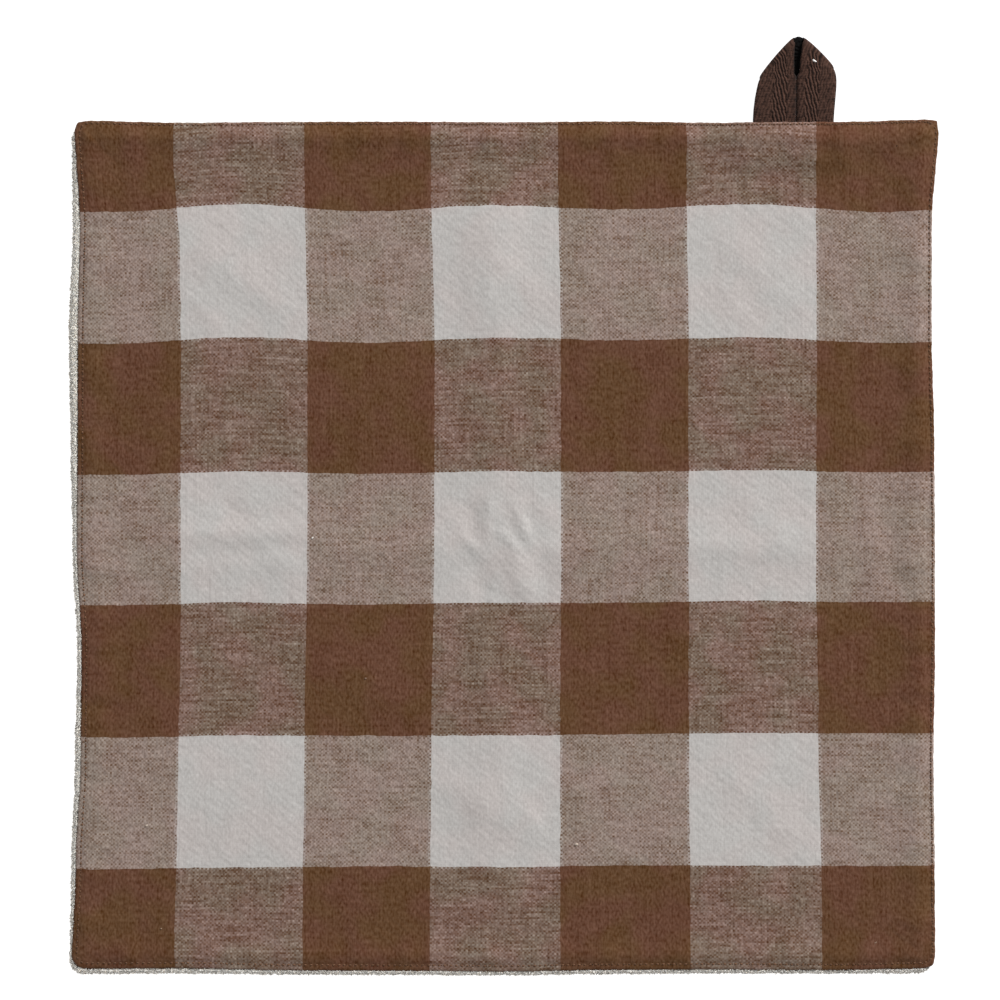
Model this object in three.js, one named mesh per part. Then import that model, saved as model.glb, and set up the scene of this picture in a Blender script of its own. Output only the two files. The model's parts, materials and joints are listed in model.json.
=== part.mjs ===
// A square dishcloth: a checked cotton front and a terry back, sewn together right sides in,
// turned out and topstitched round the edge, with a hanging loop of folded tape in the seam.
//
// It lies flat with its front up. Millimetres, +Z up, +X to the right, and +Y towards the edge
// that holds the loop. The origin is on the underside, below the centre of the front.

import * as THREE from 'three';
import { mergeVertices } from 'three/addons/utils/BufferGeometryUtils.js';

// ---------------------------------------------------------------- driving dimensions

const CLEARANCE = 0.3;        // between two pieces that touch on the real cloth
const CORNER_STEPS = 5;       // flats round one corner of a panel
const TIGHTEST_CORNER = 0.6;  // corner radius left on the lines well inside the edge

const TERRY_THICKNESS = 1.5;
const TAPE_THICKNESS = 1.0;
const FRONT_UNDERSIDE = TERRY_THICKNESS + CLEARANCE;

// The back is about the front's size, but it has crept out along the left and lower edges.
const FRONT = { width: 299.4, length: 295.8, corner: 5.2, shiftX: 0, shiftY: 0 };
const BACK = { width: 300.4, length: 296.4, corner: 5.2, shiftX: -1.3, shiftY: -1.1 };

// How far each edge bows outwards, at equal steps from its left or lower end to the other.
const FRONT_BOW = {
  bottom: [0.0, -0.3, -0.1, 0.3, 0.4, 0.1, -0.2, -0.2, -0.5],
  right: [0.3, 0.2, -0.8, 0.5, 0.2, 0.0, -0.6, -0.6, 1.0],
  top: [0.8, -0.1, -0.2, 0.3, 0.3, 0.2, 0.0, 0.3, 0.7],
  left: [1.6, 0.2, -1.4, -1.3, 0.0, -0.1, -0.3, -1.4, 0.0],
};
const BACK_BOW = {
  bottom: [0.0, -0.3, -0.2, 0.2, 0.3, 0.1, -0.3, -0.3, -0.6],
  right: [0.2, 0.1, -0.8, 0.4, 0.1, 0.0, -0.6, -0.6, 0.8],
  top: [0.4, -0.1, -0.2, 0.2, 0.2, 0.1, 0.0, 0.2, 0.5],
  left: [0.3, 0.0, -0.9, -1.5, -0.2, 0.1, 0.7, -0.2, 0.0],
};
const BOW_FADES_BY = 60;      // the bows die out this far inside the edge

// A cut through the edge of the front, from its underside round the rim to its upper face.
// The seam allowance is turned in and pressed flat, so the cloth and its allowance are one
// thickness: the rim, the groove that the topstitching pulls down, and the band inside it.
const FRONT_SECTION = [
  { inset: 16.0, height: FRONT_UNDERSIDE },
  { inset: 11.5, height: FRONT_UNDERSIDE },
  { inset: 6.0, height: FRONT_UNDERSIDE },
  { inset: 0.8, height: FRONT_UNDERSIDE },
  { inset: 0.2, height: FRONT_UNDERSIDE + 0.2 },
  { inset: 0.0, height: FRONT_UNDERSIDE + 0.6 },
  { inset: 0.2, height: FRONT_UNDERSIDE + 1.1 },
  { inset: 1.0, height: FRONT_UNDERSIDE + 1.5 },
  { inset: 1.6, height: FRONT_UNDERSIDE + 1.35 },
  { inset: 2.0, height: FRONT_UNDERSIDE + 1.0 },
  { inset: 2.5, height: FRONT_UNDERSIDE + 1.4 },
  { inset: 3.4, height: FRONT_UNDERSIDE + 1.7 },
  { inset: 7.2, height: FRONT_UNDERSIDE + 1.65 },
  { inset: 9.5, height: FRONT_UNDERSIDE + 1.3 },
  { inset: 12.0, height: FRONT_UNDERSIDE + 1.05 },
  { inset: 16.0, height: FRONT_UNDERSIDE + 1.0 },
];
const FRONT_INNER_INSETS = [22, 34, 56, 84, 114];  // lines that carry the front's soft rises

// The back is a plain sheet with a round edge, flat underneath.
const BACK_SECTION = [
  { inset: 0.8, height: 0 },
  { inset: 0.2, height: 0.2 },
  { inset: 0.0, height: TERRY_THICKNESS / 2 },
  { inset: 0.2, height: TERRY_THICKNESS - 0.2 },
  { inset: 0.8, height: TERRY_THICKNESS },
];

// The front is a little fuller than the back, so it rises in soft, slanting waves, and along
// the two lines where the cloth has been folded in four.
const FULLNESS = { height: 0.4, across: 92, along: 150, slant: 0.45, startsAt: 12, fullAt: 36 };
const FOLD_LINE = { x: -3.5, y: -0.7, height: 0.5, halfWidth: 9 };

// The loop: a tape with a 45 degree fold at each side of its tip, so that its ends lie side
// by side and its middle crosses behind them. Places are from the middle of its foot, and
// each row is a line across the tape, from its outer edge to its inner one.
const LOOP_X = 100.8;
const LOOP_Y = FRONT.length / 2;
const SEAM_LEVEL = TERRY_THICKNESS + CLEARANCE + TAPE_THICKNESS / 2;
const LEFT_LEG = [
  { outer: [-14.1, -9.0, SEAM_LEVEL], inner: [0.1, -9.0, SEAM_LEVEL] },
  { outer: [-14.0, 0.5, SEAM_LEVEL], inner: [0.2, 0.5, SEAM_LEVEL] },
  { outer: [-13.5, 8.0, 2.2], inner: [0.4, 8.5, 2.2] },
  { outer: [-12.8, 12.0, 2.1], inner: [0.4, 13.0, 2.1] },
  { outer: [-12.1, 14.0, 2.05], inner: [0.2, 17.0, 2.2] },
  { outer: [-11.7, 14.6, 2.0], inner: [0.2, 22.5, 2.6] },
];
const LEFT_FOLD = { outer: [-11.3, 15.0], inner: [0.7, 27.8] };
const RIGHT_FOLD = { outer: [13.5, 18.4], inner: [2.9, 27.8] };
const RIGHT_LEG = [
  { outer: [14.1, 17.6, 2.0], inner: [2.1, 22.5, 2.6] },
  { outer: [14.5, 16.4, 2.05], inner: [1.7, 17.6, 2.2] },
  { outer: [14.7, 14.6, 2.1], inner: [0.8, 15.8, 2.1] },
  { outer: [14.4, 7.8, 2.2], inner: [0.75, 8.5, 2.2] },
  { outer: [13.8, 0.5, SEAM_LEVEL], inner: [0.55, 0.5, SEAM_LEVEL] },
  { outer: [13.7, -9.0, SEAM_LEVEL], inner: [0.45, -9.0, SEAM_LEVEL] },
];
const FOLD_RADIUS = { outer: 0.75, inner: 1.2 };  // the folds stand up more at the tip
const FOLD_STEPS = 6;
const CROSSING_STEPS = 6;
const TIP_RISE = 1.6;         // how far the crossing tape's upper edge rises between the folds
const CROSSING_SAG = 2.0;     // and its lower edge sags, behind the ends

// The front rides up over the tape that is sewn into the seam.
const HUMP = {
  height: TAPE_THICKNESS + CLEARANCE,
  left: LOOP_X - 16.4,
  right: LOOP_X + 16.1,
  inner: LOOP_Y - 11.5,
  fall: 6,
};

// Lines across a panel: equal steps along every edge. The front has closer ones beside its
// fold lines and over the loop.
const EDGE_STEPS = 14;
const BESIDE_FOLD_LINE = [-18, -9, 9, 18];
const OVER_LOOP_STEP = 4;
const LEAST_STEP = 2.5;

const COLOURS = { front_panel: '#7d6658', back_panel: '#d2cec6', hanging_loop: '#3a2d28' };

// ---------------------------------------------------------------- shared shapes

const { lerp, smoothstep } = THREE.MathUtils;

// Skins a row of rings, each with the same number of points, into one closed solid. The
// first and last rings are closed with a fan of triangles to their middle.
function solidFromRings(rings) {
  const count = rings[0].length;
  const middleOf = (ring) => ring
    .reduce((sum, point) => sum.add(point), new THREE.Vector3())
    .divideScalar(count);
  const capOf = (ring) => Array(count).fill(middleOf(ring));
  const rows = [capOf(rings[0]), ...rings, capOf(rings[rings.length - 1])];

  const index = [];
  const lastRow = rows.length - 2;
  for (let row = 0; row <= lastRow; row += 1) {
    for (let k = 0; k < count; k += 1) {
      const a = row * count + k;
      const b = row * count + ((k + 1) % count);
      const c = b + count;
      const d = a + count;
      if (row > 0) index.push(a, b, c);
      if (row < lastRow) index.push(a, c, d);
    }
  }
  const geometry = new THREE.BufferGeometry().setFromPoints(rows.flat());
  geometry.setIndex(index);
  return mergeVertices(geometry, 1e-4);
}

function piece(name, geometry) {
  geometry.computeVertexNormals();
  const material = new THREE.MeshStandardMaterial({
    color: COLOURS[name],
    roughness: 0.95,
    metalness: 0,
  });
  const mesh = new THREE.Mesh(geometry, material);
  mesh.name = name;
  return mesh;
}

// ---------------------------------------------------------------- the two panels

// Value of a table of equal steps at `part` of its length, eased between its entries.
function tableAt(table, part) {
  const place = part * (table.length - 1);
  const step = Math.min(Math.floor(place), table.length - 2);
  return lerp(table[step], table[step + 1], smoothstep(place - step, 0, 1));
}

// The edges in turn, anticlockwise seen from above.
const EDGES = [
  { name: 'bottom', out: [0, -1], along: [1, 0] },
  { name: 'right', out: [1, 0], along: [0, 1] },
  { name: 'top', out: [0, 1], along: [-1, 0] },
  { name: 'left', out: [-1, 0], along: [0, -1] },
];

// Places along an edge of a panel, from -1 at its start to 1 at its end.
function stationsOf(edge, panel) {
  const even = [];
  for (let k = 0; k <= EDGE_STEPS; k += 1) even.push((2 * k) / EDGE_STEPS - 1);
  if (panel !== FRONT) return even;

  const half = (edge.along[0] === 0 ? panel.length : panel.width) / 2;
  const closer = BESIDE_FOLD_LINE.map((distance) => distance / half);
  if (edge.name === 'top') {
    const last = HUMP.right + HUMP.fall;
    for (let x = HUMP.left - HUMP.fall; x <= last; x += OVER_LOOP_STEP) closer.push(-x / half);
  }
  const isClear = (place) => closer.every((other) => Math.abs(place - other) * half > LEAST_STEP);
  return [...even.filter(isClear), ...closer].sort((first, second) => first - second);
}

// One line round a panel, `inset` inside its edge: four bowed sides with round corners.
function outline(panel, bow, inset) {
  const halves = [panel.width / 2, panel.length / 2];
  const radius = Math.max(panel.corner - inset, TIGHTEST_CORNER);
  const fade = 1 - smoothstep(inset, 0, BOW_FADES_BY);
  const points = [];
  for (let side = 0; side < EDGES.length; side += 1) {
    const edge = EDGES[side];
    const following = EDGES[(side + 1) % EDGES.length];
    const axis = edge.along[0] === 0 ? 1 : 0;
    const reach = halves[1 - axis] - inset;
    const straight = halves[axis] - inset - radius;
    const bowAt = (line, place) => {
      const forwards = line.along[0] + line.along[1];
      return fade * tableAt(bow[line.name], (1 + forwards * place) / 2);
    };
    for (const place of stationsOf(edge, panel)) {
      const out = reach + bowAt(edge, place);
      points.push([
        edge.out[0] * out + edge.along[0] * straight * place,
        edge.out[1] * out + edge.along[1] * straight * place,
      ]);
    }
    for (let k = 1; k < CORNER_STEPS; k += 1) {
      const angle = (k / CORNER_STEPS) * (Math.PI / 2);
      const out = reach - radius + (radius + bowAt(edge, 1)) * Math.cos(angle);
      const along = straight + (radius + bowAt(following, -1)) * Math.sin(angle);
      points.push([
        edge.out[0] * out + edge.along[0] * along,
        edge.out[1] * out + edge.along[1] * along,
      ]);
    }
  }
  return points.map(([x, y]) => [x + panel.shiftX, y + panel.shiftY]);
}

// Soft rises of the front, which die out towards its edge.
function fullnessAt(x, y, inset) {
  const across = x + FULLNESS.slant * y;
  const along = y - FULLNESS.slant * x;
  const turn = 2 * Math.PI;
  const swell = Math.sin((turn * across) / FULLNESS.across) * Math.cos((turn * along) / FULLNESS.along);
  const ridge = (distance) => Math.exp(-((distance / FOLD_LINE.halfWidth) ** 2));
  const folds = Math.max(ridge(x - FOLD_LINE.x), ridge(y - FOLD_LINE.y));
  const inside = smoothstep(inset, FULLNESS.startsAt, FULLNESS.fullAt);
  return inside * (FULLNESS.height * (1 + swell) / 2 + FOLD_LINE.height * folds);
}

// Rise of the front over the ends of the tape.
function humpAt(x, y) {
  const fromLeft = smoothstep(x, HUMP.left - HUMP.fall, HUMP.left);
  const fromRight = 1 - smoothstep(x, HUMP.right, HUMP.right + HUMP.fall);
  const fromInside = smoothstep(y, HUMP.inner - HUMP.fall, HUMP.inner);
  return HUMP.height * fromLeft * fromRight * fromInside;
}

function frontPanel() {
  const underside = FRONT_SECTION[0].height;
  const upperFace = FRONT_SECTION[FRONT_SECTION.length - 1].height;
  const section = [
    ...FRONT_INNER_INSETS.map((inset) => ({ inset, height: underside })).reverse(),
    ...FRONT_SECTION,
    ...FRONT_INNER_INSETS.map((inset) => ({ inset, height: upperFace })),
  ];
  const rings = section.map(({ inset, height }) => outline(FRONT, FRONT_BOW, inset)
    .map(([x, y]) => {
      const lift = humpAt(x, y) + fullnessAt(x, y, inset);
      return new THREE.Vector3(x, y, height + lift);
    }));
  return piece('front_panel', solidFromRings(rings));
}

function backPanel() {
  const rings = BACK_SECTION.map(({ inset, height }) => outline(BACK, BACK_BOW, inset)
    .map(([x, y]) => new THREE.Vector3(x, y, height)));
  return piece('back_panel', solidFromRings(rings));
}

// ---------------------------------------------------------------- the hanging loop

// The four corners of a cut across the tape: two points of its middle surface, and the way
// that its face looks there.
function tapeRing(outer, inner, face) {
  const half = face.clone().setLength(TAPE_THICKNESS / 2);
  return [
    outer.clone().add(half),
    inner.clone().add(half),
    inner.clone().sub(half),
    outer.clone().sub(half),
  ];
}

function legRings(leg) {
  const up = new THREE.Vector3(0, 0, 1);
  return leg.map(({ outer, inner }) => tapeRing(
    new THREE.Vector3(...outer),
    new THREE.Vector3(...inner),
    up,
  ));
}

// A half turn about a slanting line, from face up at 0 to face down at pi.
function foldRings(fold, side) {
  const [outer, inner] = [new THREE.Vector2(...fold.outer), new THREE.Vector2(...fold.inner)];
  const away = inner.clone().sub(outer).normalize().rotateAround(new THREE.Vector2(), side);
  const rings = [];
  for (let k = 0; k <= FOLD_STEPS; k += 1) {
    const turn = (Math.PI * k) / FOLD_STEPS;
    const place = (end, radius) => new THREE.Vector3(
      end.x + away.x * radius * Math.sin(turn),
      end.y + away.y * radius * Math.sin(turn),
      TAPE_THICKNESS / 2 + radius * (1 + Math.cos(turn)),
    );
    const face = new THREE.Vector3(
      away.x * Math.sin(turn),
      away.y * Math.sin(turn),
      Math.cos(turn),
    );
    rings.push(tapeRing(place(outer, FOLD_RADIUS.outer), place(inner, FOLD_RADIUS.inner), face));
  }
  return rings;
}

// The middle of the tape lies face down and crosses from one fold to the other.
function crossingRings() {
  const down = new THREE.Vector3(0, 0, -1);
  const rings = [];
  for (let k = 1; k < CROSSING_STEPS; k += 1) {
    const part = k / CROSSING_STEPS;
    const between = (end, rise) => new THREE.Vector3(
      lerp(LEFT_FOLD[end][0], RIGHT_FOLD[end][0], part),
      lerp(LEFT_FOLD[end][1], RIGHT_FOLD[end][1], part) + rise,
      TAPE_THICKNESS / 2,
    );
    const bow = Math.sin(Math.PI * part);
    const outer = between('outer', -CROSSING_SAG * bow);
    rings.push(tapeRing(outer, between('inner', TIP_RISE * bow), down));
  }
  return rings;
}

function hangingLoop() {
  const quarterTurn = Math.PI / 2;
  const rings = [
    ...legRings(LEFT_LEG),
    ...foldRings(LEFT_FOLD, quarterTurn),
    ...crossingRings(),
    ...foldRings(RIGHT_FOLD, -quarterTurn).reverse(),
    ...legRings(RIGHT_LEG),
  ];
  const loop = piece('hanging_loop', solidFromRings(rings));
  loop.position.set(LOOP_X, LOOP_Y, 0);
  return loop;
}

// ---------------------------------------------------------------- the dishcloth

const dishcloth = new THREE.Group();
dishcloth.add(frontPanel(), backPanel(), hangingLoop());

export default dishcloth;
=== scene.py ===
# %% [markdown]
# # A checked dishcloth with a hanging loop
#
# The real thing is two squares of cloth. The front is a plain-woven cotton in a big brown and
# white check. The back is white terry. They are sewn together face to face, turned out through
# a gap, pressed, and topstitched all round. A mitred loop of herringbone tape is caught in the
# top seam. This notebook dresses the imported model: it never moves it, and it builds each cloth
# as a thin sheet that lies where its solid lies.

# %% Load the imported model
import json
import math

import bpy
import numpy as np
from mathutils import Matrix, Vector

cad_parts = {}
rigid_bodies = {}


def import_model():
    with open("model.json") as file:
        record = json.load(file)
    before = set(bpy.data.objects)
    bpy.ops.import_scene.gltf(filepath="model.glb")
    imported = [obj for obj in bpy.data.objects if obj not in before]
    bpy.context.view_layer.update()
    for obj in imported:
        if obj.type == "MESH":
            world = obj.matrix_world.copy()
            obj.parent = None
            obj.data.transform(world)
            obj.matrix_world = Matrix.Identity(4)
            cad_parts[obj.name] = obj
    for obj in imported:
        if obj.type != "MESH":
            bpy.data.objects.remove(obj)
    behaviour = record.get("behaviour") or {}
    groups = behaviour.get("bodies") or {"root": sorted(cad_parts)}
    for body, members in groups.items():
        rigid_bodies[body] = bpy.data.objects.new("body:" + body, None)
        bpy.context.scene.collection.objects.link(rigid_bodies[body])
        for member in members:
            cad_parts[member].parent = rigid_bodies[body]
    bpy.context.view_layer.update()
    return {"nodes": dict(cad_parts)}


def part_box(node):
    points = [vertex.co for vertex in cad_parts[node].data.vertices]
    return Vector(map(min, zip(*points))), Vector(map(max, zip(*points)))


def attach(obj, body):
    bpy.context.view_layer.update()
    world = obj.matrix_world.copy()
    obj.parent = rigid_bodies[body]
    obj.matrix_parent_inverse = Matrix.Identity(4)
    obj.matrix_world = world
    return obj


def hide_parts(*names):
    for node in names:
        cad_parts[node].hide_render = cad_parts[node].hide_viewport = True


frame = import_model()
MM = 0.001  # everything is modelled in millimetres, and turned to metres as a mesh is made


def box_mm(node):
    """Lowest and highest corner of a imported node, in millimetres."""
    low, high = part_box(node)
    return np.array(low) / MM, np.array(high) / MM


for node in sorted(frame["nodes"]):
    low, high = box_mm(node)
    print(node, "from", low.round(1), "to", high.round(1), "mm")

# %% [markdown]
# ## A few small tools
#
# Colours are picked as sRGB hex values, the way a paint chart gives them, but a shader works in
# linear light, so one function turns them. Another adds one node to a material with its settings
# and links, so that a material reads as a list of steps. The others make a mesh object from
# points in millimetres, store a value with each of its points, copy a small mesh many times, and
# give a smooth step.

# %% Tools
COLOURS = {"out": 2, "data_type": "RGBA"}  # what a Mix node takes to mix two colours


def linear(code):
    """An sRGB hex colour as linear red, green, blue and alpha."""
    parts = [int(code[k:k + 2], 16) / 255 for k in (1, 3, 5)]
    return [p / 12.92 if p <= 0.04045 else ((p + 0.055) / 1.055) ** 2.4 for p in parts] + [1.0]


def add(tree, kind, inputs=None, out=0, **settings):
    """Adds a shader node, makes its settings, fills or links its inputs, gives one output."""
    node = tree.nodes.new("ShaderNode" + kind)
    for name, value in settings.items():
        setattr(node, name, value)
    for socket, value in (inputs or {}).items():
        if isinstance(value, bpy.types.NodeSocket):
            tree.links.new(value, node.inputs[socket])
        else:
            node.inputs[socket].default_value = value
    return node.outputs[out] if node.outputs else node


def new_material(name):
    """An empty material, and its node tree."""
    material = bpy.data.materials.new(name)
    material.use_nodes = True
    material.node_tree.nodes.clear()
    return material, material.node_tree


def mesh_object(name, points_mm, faces, material):
    """A mesh object at the origin, from points in millimetres and faces of equal or mixed size."""
    mesh = bpy.data.meshes.new(name)
    mesh.from_pydata((np.asarray(points_mm) * MM).tolist(), [], faces)
    mesh.validate()
    mesh.polygons.foreach_set("use_smooth", [True] * len(mesh.polygons))
    mesh.materials.append(material)
    piece = bpy.data.objects.new(name, mesh)
    bpy.context.scene.collection.objects.link(piece)
    triangles = sum(len(p.vertices) - 2 for p in mesh.polygons)
    print(f"{name}: {len(mesh.vertices)} points, {triangles} triangles")
    return piece


def store(piece, name, values):
    """Stores a number or a vector with each point of a piece, where its material can read it."""
    kind, field = ("FLOAT_VECTOR", "vector") if values.ndim == 2 else ("FLOAT", "value")
    layer = piece.data.attributes.new(name, kind, "POINT")
    layer.data.foreach_set(field, values.astype(np.float32).ravel())


def copies(corners, pattern):
    """Points and faces of many copies of one small mesh. Each item of corners holds one corner
    of all the copies, and pattern holds the faces of one copy."""
    points = np.stack(corners, axis=1)
    count, size = points.shape[:2]
    faces = (np.arange(count) * size)[:, None, None] + np.array(pattern)[None]
    return points.reshape(-1, 3), faces.reshape(-1, 3).tolist()


def ease(value, start, end):
    """0 before start, 1 after end, and a smooth rise between them."""
    part = np.clip((np.asarray(value, float) - start) / (end - start), 0.0, 1.0)
    return part * part * (3 - 2 * part)


print("the grey #808080 is", round(linear("#808080")[0], 3), "in linear light")

# %% [markdown]
# ## Floor, light and camera
#
# The cloth lies on a white table and is looked at from straight above. A long lens keeps its
# edges square. One big soft lamp stands low, up to the right, so that its light rakes across and
# each crease has a bright side and a dark side, and a white sky fills the shadows in. The table
# is opal acrylic that glows from inside, as tables for pictures of small goods do, so that no
# hard shadow lies round the edge.

# %% Floor, light and camera
FIELD = 349.0          # mm of the table that the view takes in
VIEW_CENTRE = (-1.7, 16.0)  # the place under the camera, x and y in mm
LENS = 150.0           # focal length in mm
SENSOR = 36.0          # width of the camera's sensor in mm
TABLE_SIZE = 6.0       # metres along one side
TABLE_TOP = -0.0002    # metres: a hair below the cloth, so that the two never share a face
TABLE_GLOW = 0.97      # the light that comes from inside the table; 1 is paper white
SKY_STRENGTH = 0.50
LAMP_SIZE = 2.1        # metres across
LAMP_POWER = 450.0     # watts
LAMP_AT = Vector((3.36, 4.14, 2.70))  # metres

floor_material, tree = new_material("opal acrylic table, lit from inside")
grain = add(tree, "TexNoise", {"Vector": add(tree, "TexCoord", out=3), "Scale": 900.0})
shade = add(tree, "Mix", {0: grain, 6: linear("#8c8c8c"), 7: linear("#909090")}, **COLOURS)
glow = add(tree, "Mix", {0: grain, 6: linear("#fcfcfc"), 7: linear("#ffffff")}, **COLOURS)
surface = add(tree, "BsdfPrincipled", {"Base Color": shade, "Roughness": 0.9,
                                       "Specular IOR Level": 0.1, "Emission Color": glow,
                                       "Emission Strength": TABLE_GLOW})
add(tree, "OutputMaterial", {"Surface": surface})

bpy.ops.object.select_all(action="DESELECT")
bpy.ops.mesh.primitive_plane_add(size=TABLE_SIZE, location=(0, 0, TABLE_TOP))
floor = bpy.context.object
floor.name = "floor"
floor.data.materials.append(floor_material)

sky = bpy.data.worlds.new("white sky")
bpy.context.scene.world = sky
sky.use_nodes = True
background = sky.node_tree.nodes["Background"]
background.inputs["Color"].default_value = linear("#ffffff")
background.inputs["Strength"].default_value = SKY_STRENGTH

lamp_data = bpy.data.lights.new("softbox", "AREA")
lamp_data.shape = "DISK"
lamp_data.size = LAMP_SIZE
lamp_data.energy = LAMP_POWER
lamp = bpy.data.objects.new("softbox", lamp_data)
bpy.context.scene.collection.objects.link(lamp)
lamp.location = LAMP_AT
lamp.rotation_euler = (-LAMP_AT).to_track_quat("-Z", "Y").to_euler()

camera_data = bpy.data.cameras.new("camera")
camera_data.lens = LENS
camera_data.sensor_width = SENSOR
camera = bpy.data.objects.new("camera", camera_data)
bpy.context.scene.collection.objects.link(camera)
camera_height = FIELD / SENSOR * LENS
camera.location = (VIEW_CENTRE[0] * MM, VIEW_CENTRE[1] * MM, camera_height * MM)
bpy.context.scene.camera = camera
bpy.context.scene.view_settings.view_transform = "Standard"
print(f"the camera looks straight down from {camera_height:.0f} mm")

# %% [markdown]
# ## The outline of a panel
#
# Hand-sewn edges are never straight. Each edge bows a little in and out, so a short table says
# how far at equal steps, the same as in the solids, and the bows die out towards the middle.
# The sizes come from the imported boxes: a box reaches as far as the biggest bow does.

# %% The outline of a panel
FRONT_BOW = {
    "bottom": [0.0, -0.3, -0.1, 0.3, 0.4, 0.1, -0.2, -0.2, -0.5],
    "right": [0.3, 0.2, -0.8, 0.5, 0.2, 0.0, -0.6, -0.6, 1.0],
    "top": [0.8, -0.1, -0.2, 0.3, 0.3, 0.2, 0.0, 0.3, 0.7],
    "left": [1.6, 0.2, -1.4, -1.3, 0.0, -0.1, -0.3, -1.4, 0.0],
}
BACK_BOW = {
    "bottom": [0.0, -0.3, -0.2, 0.2, 0.3, 0.1, -0.3, -0.3, -0.6],
    "right": [0.2, 0.1, -0.8, 0.4, 0.1, 0.0, -0.6, -0.6, 0.8],
    "top": [0.4, -0.1, -0.2, 0.2, 0.2, 0.1, 0.0, 0.2, 0.5],
    "left": [0.3, 0.0, -0.9, -1.5, -0.2, 0.1, 0.7, -0.2, 0.0],
}
# The turned edge of a panel lies a little past or short of its solid's, again at equal steps.
FRONT_CREEP = {
    "bottom": [-0.6, -0.4, 0.1, -0.2, 0.0, -0.3, -0.1, 0.1, -0.2],
    "right": [0.0, -0.1, 0.5, -0.3, 0.0, -0.05, -0.35, -0.3, 0.55],
    "top": [-0.45, -0.3, 0.1, -0.35, -0.5, -0.15, -0.4, -0.55, 0.05],
    "left": [-0.3, -0.4, -0.5, -0.9, -0.6, -0.7, -0.6, -0.2, 0.3],
}
BACK_CREEP = {
    "bottom": [0.2, 0.4, 0.6, 0.4, 0.4, 0.2, 0.3, 0.4, 0.6],
    "right": [0.0, 0.0, 0.0, 0.0, 0.0, 0.0, 0.0, 0.0, 0.0],
    "top": [-0.4, -0.3, -0.3, -0.4, -0.5, -0.4, -0.5, -0.6, -0.4],
    "left": [0.4, 0.1, -0.3, -0.5, -0.2, 0.2, 0.2, -0.2, -0.2],
}
BOW_FADES_BY = 60.0    # mm inside the edge, where the bow has died out
CREEP_FADES_BY = 30.0  # and where the creep has
CORNER = 5.2           # radius of a panel's corners in mm
# Between the stitches the edge puffs out by a hair: wave length and height, in mm.
EDGE_WAVES = [(1.95, 0.03), (3.3, 0.04), (5.9, 0.04), (13.0, 0.05)]
PUFF_FADES = (0.4, 3.0)  # from and to this far inside the edge
PUFF_SHIFT = 1.3       # moves the waves of two neighbouring edges apart
# The front's edge is rolled under a little more at the top and the right, so the stitch line
# lies nearer to the edge there: how much nearer, in mm.
ROLLED = {"left": 0.2, "right": 1.0, "bottom": 0.0, "top": 1.1}
ROLLED_MOST_AT = 2.0   # mm inside the edge
ROLL_FADES_BY = 6.5
print("the edge puffs out by at most", round(sum(high for _, high in EDGE_WAVES), 2), "mm")

# %% [markdown]
# ### From a straight square to the real outline
#
# Every line round a panel, and every point on its face, starts on a square with straight edges
# and is moved once, by the same function. A curve object could carry the outline instead, but
# then the face, the hem and the stitches would each need their own way to follow it.

# %% A panel's points and rings


def panel_from_box(node, bow, creep):
    """Half sizes and middle of a panel, from its packed box and its bows."""
    low, high = box_mm(node)
    left, right = low[0] + max(bow["left"]), high[0] - max(bow["right"])
    bottom, top = low[1] + max(bow["bottom"]), high[1] - max(bow["top"])
    return {
        "half": np.array([(right - left) / 2, (top - bottom) / 2]),
        "middle": np.array([(right + left) / 2, (top + bottom) / 2]),
        "bow": bow,
        "creep": creep,
        "underside": low[2],
    }


def table_at(table, part):
    """Value of a table of equal steps at part of its length, eased between its entries."""
    place = np.clip(part, 0.0, 1.0) * (len(table) - 1)
    step = np.minimum(np.floor(place).astype(int), len(table) - 2)
    values = np.array(table, float)
    rise = ease(place - step, 0.0, 1.0)
    return values[step] * (1 - rise) + values[step + 1] * rise


def bowed(panel, square):
    """Points of the straight-edged square, moved as the edges bow."""
    half, bow, creep = panel["half"], panel["bow"], panel["creep"]
    part = (square + half) / (2 * half)
    moved = square.copy()
    for axis, (first, last) in enumerate((("left", "right"), ("bottom", "top"))):
        along = part[:, 1 - axis]
        to_last = half[axis] - square[:, axis]
        to_first = half[axis] + square[:, axis]
        far = 1 - ease(to_last, 0, BOW_FADES_BY)
        near = 1 - ease(to_first, 0, BOW_FADES_BY)
        moved[:, axis] += far * table_at(bow[last], along) - near * table_at(bow[first], along)
        run = along * 2 * half[1 - axis]
        for way, to_edge, side in ((1, to_last, last), (-1, to_first, first)):
            shift = table_at(creep[side], along) * (1 - ease(to_edge, 0, CREEP_FADES_BY))
            if bow is FRONT_BOW:
                rolled = 1 - ease(to_edge, ROLLED_MOST_AT, ROLL_FADES_BY)
                shift += ROLLED[side] * ease(to_edge, 0, ROLLED_MOST_AT) * rolled
            puff = sum(high * np.sin(math.tau * run / length + PUFF_SHIFT * axis + way)
                       for length, high in EDGE_WAVES)
            moved[:, axis] += way * (shift + puff * (1 - ease(to_edge, *PUFF_FADES)))
    return moved + panel["middle"]


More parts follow.
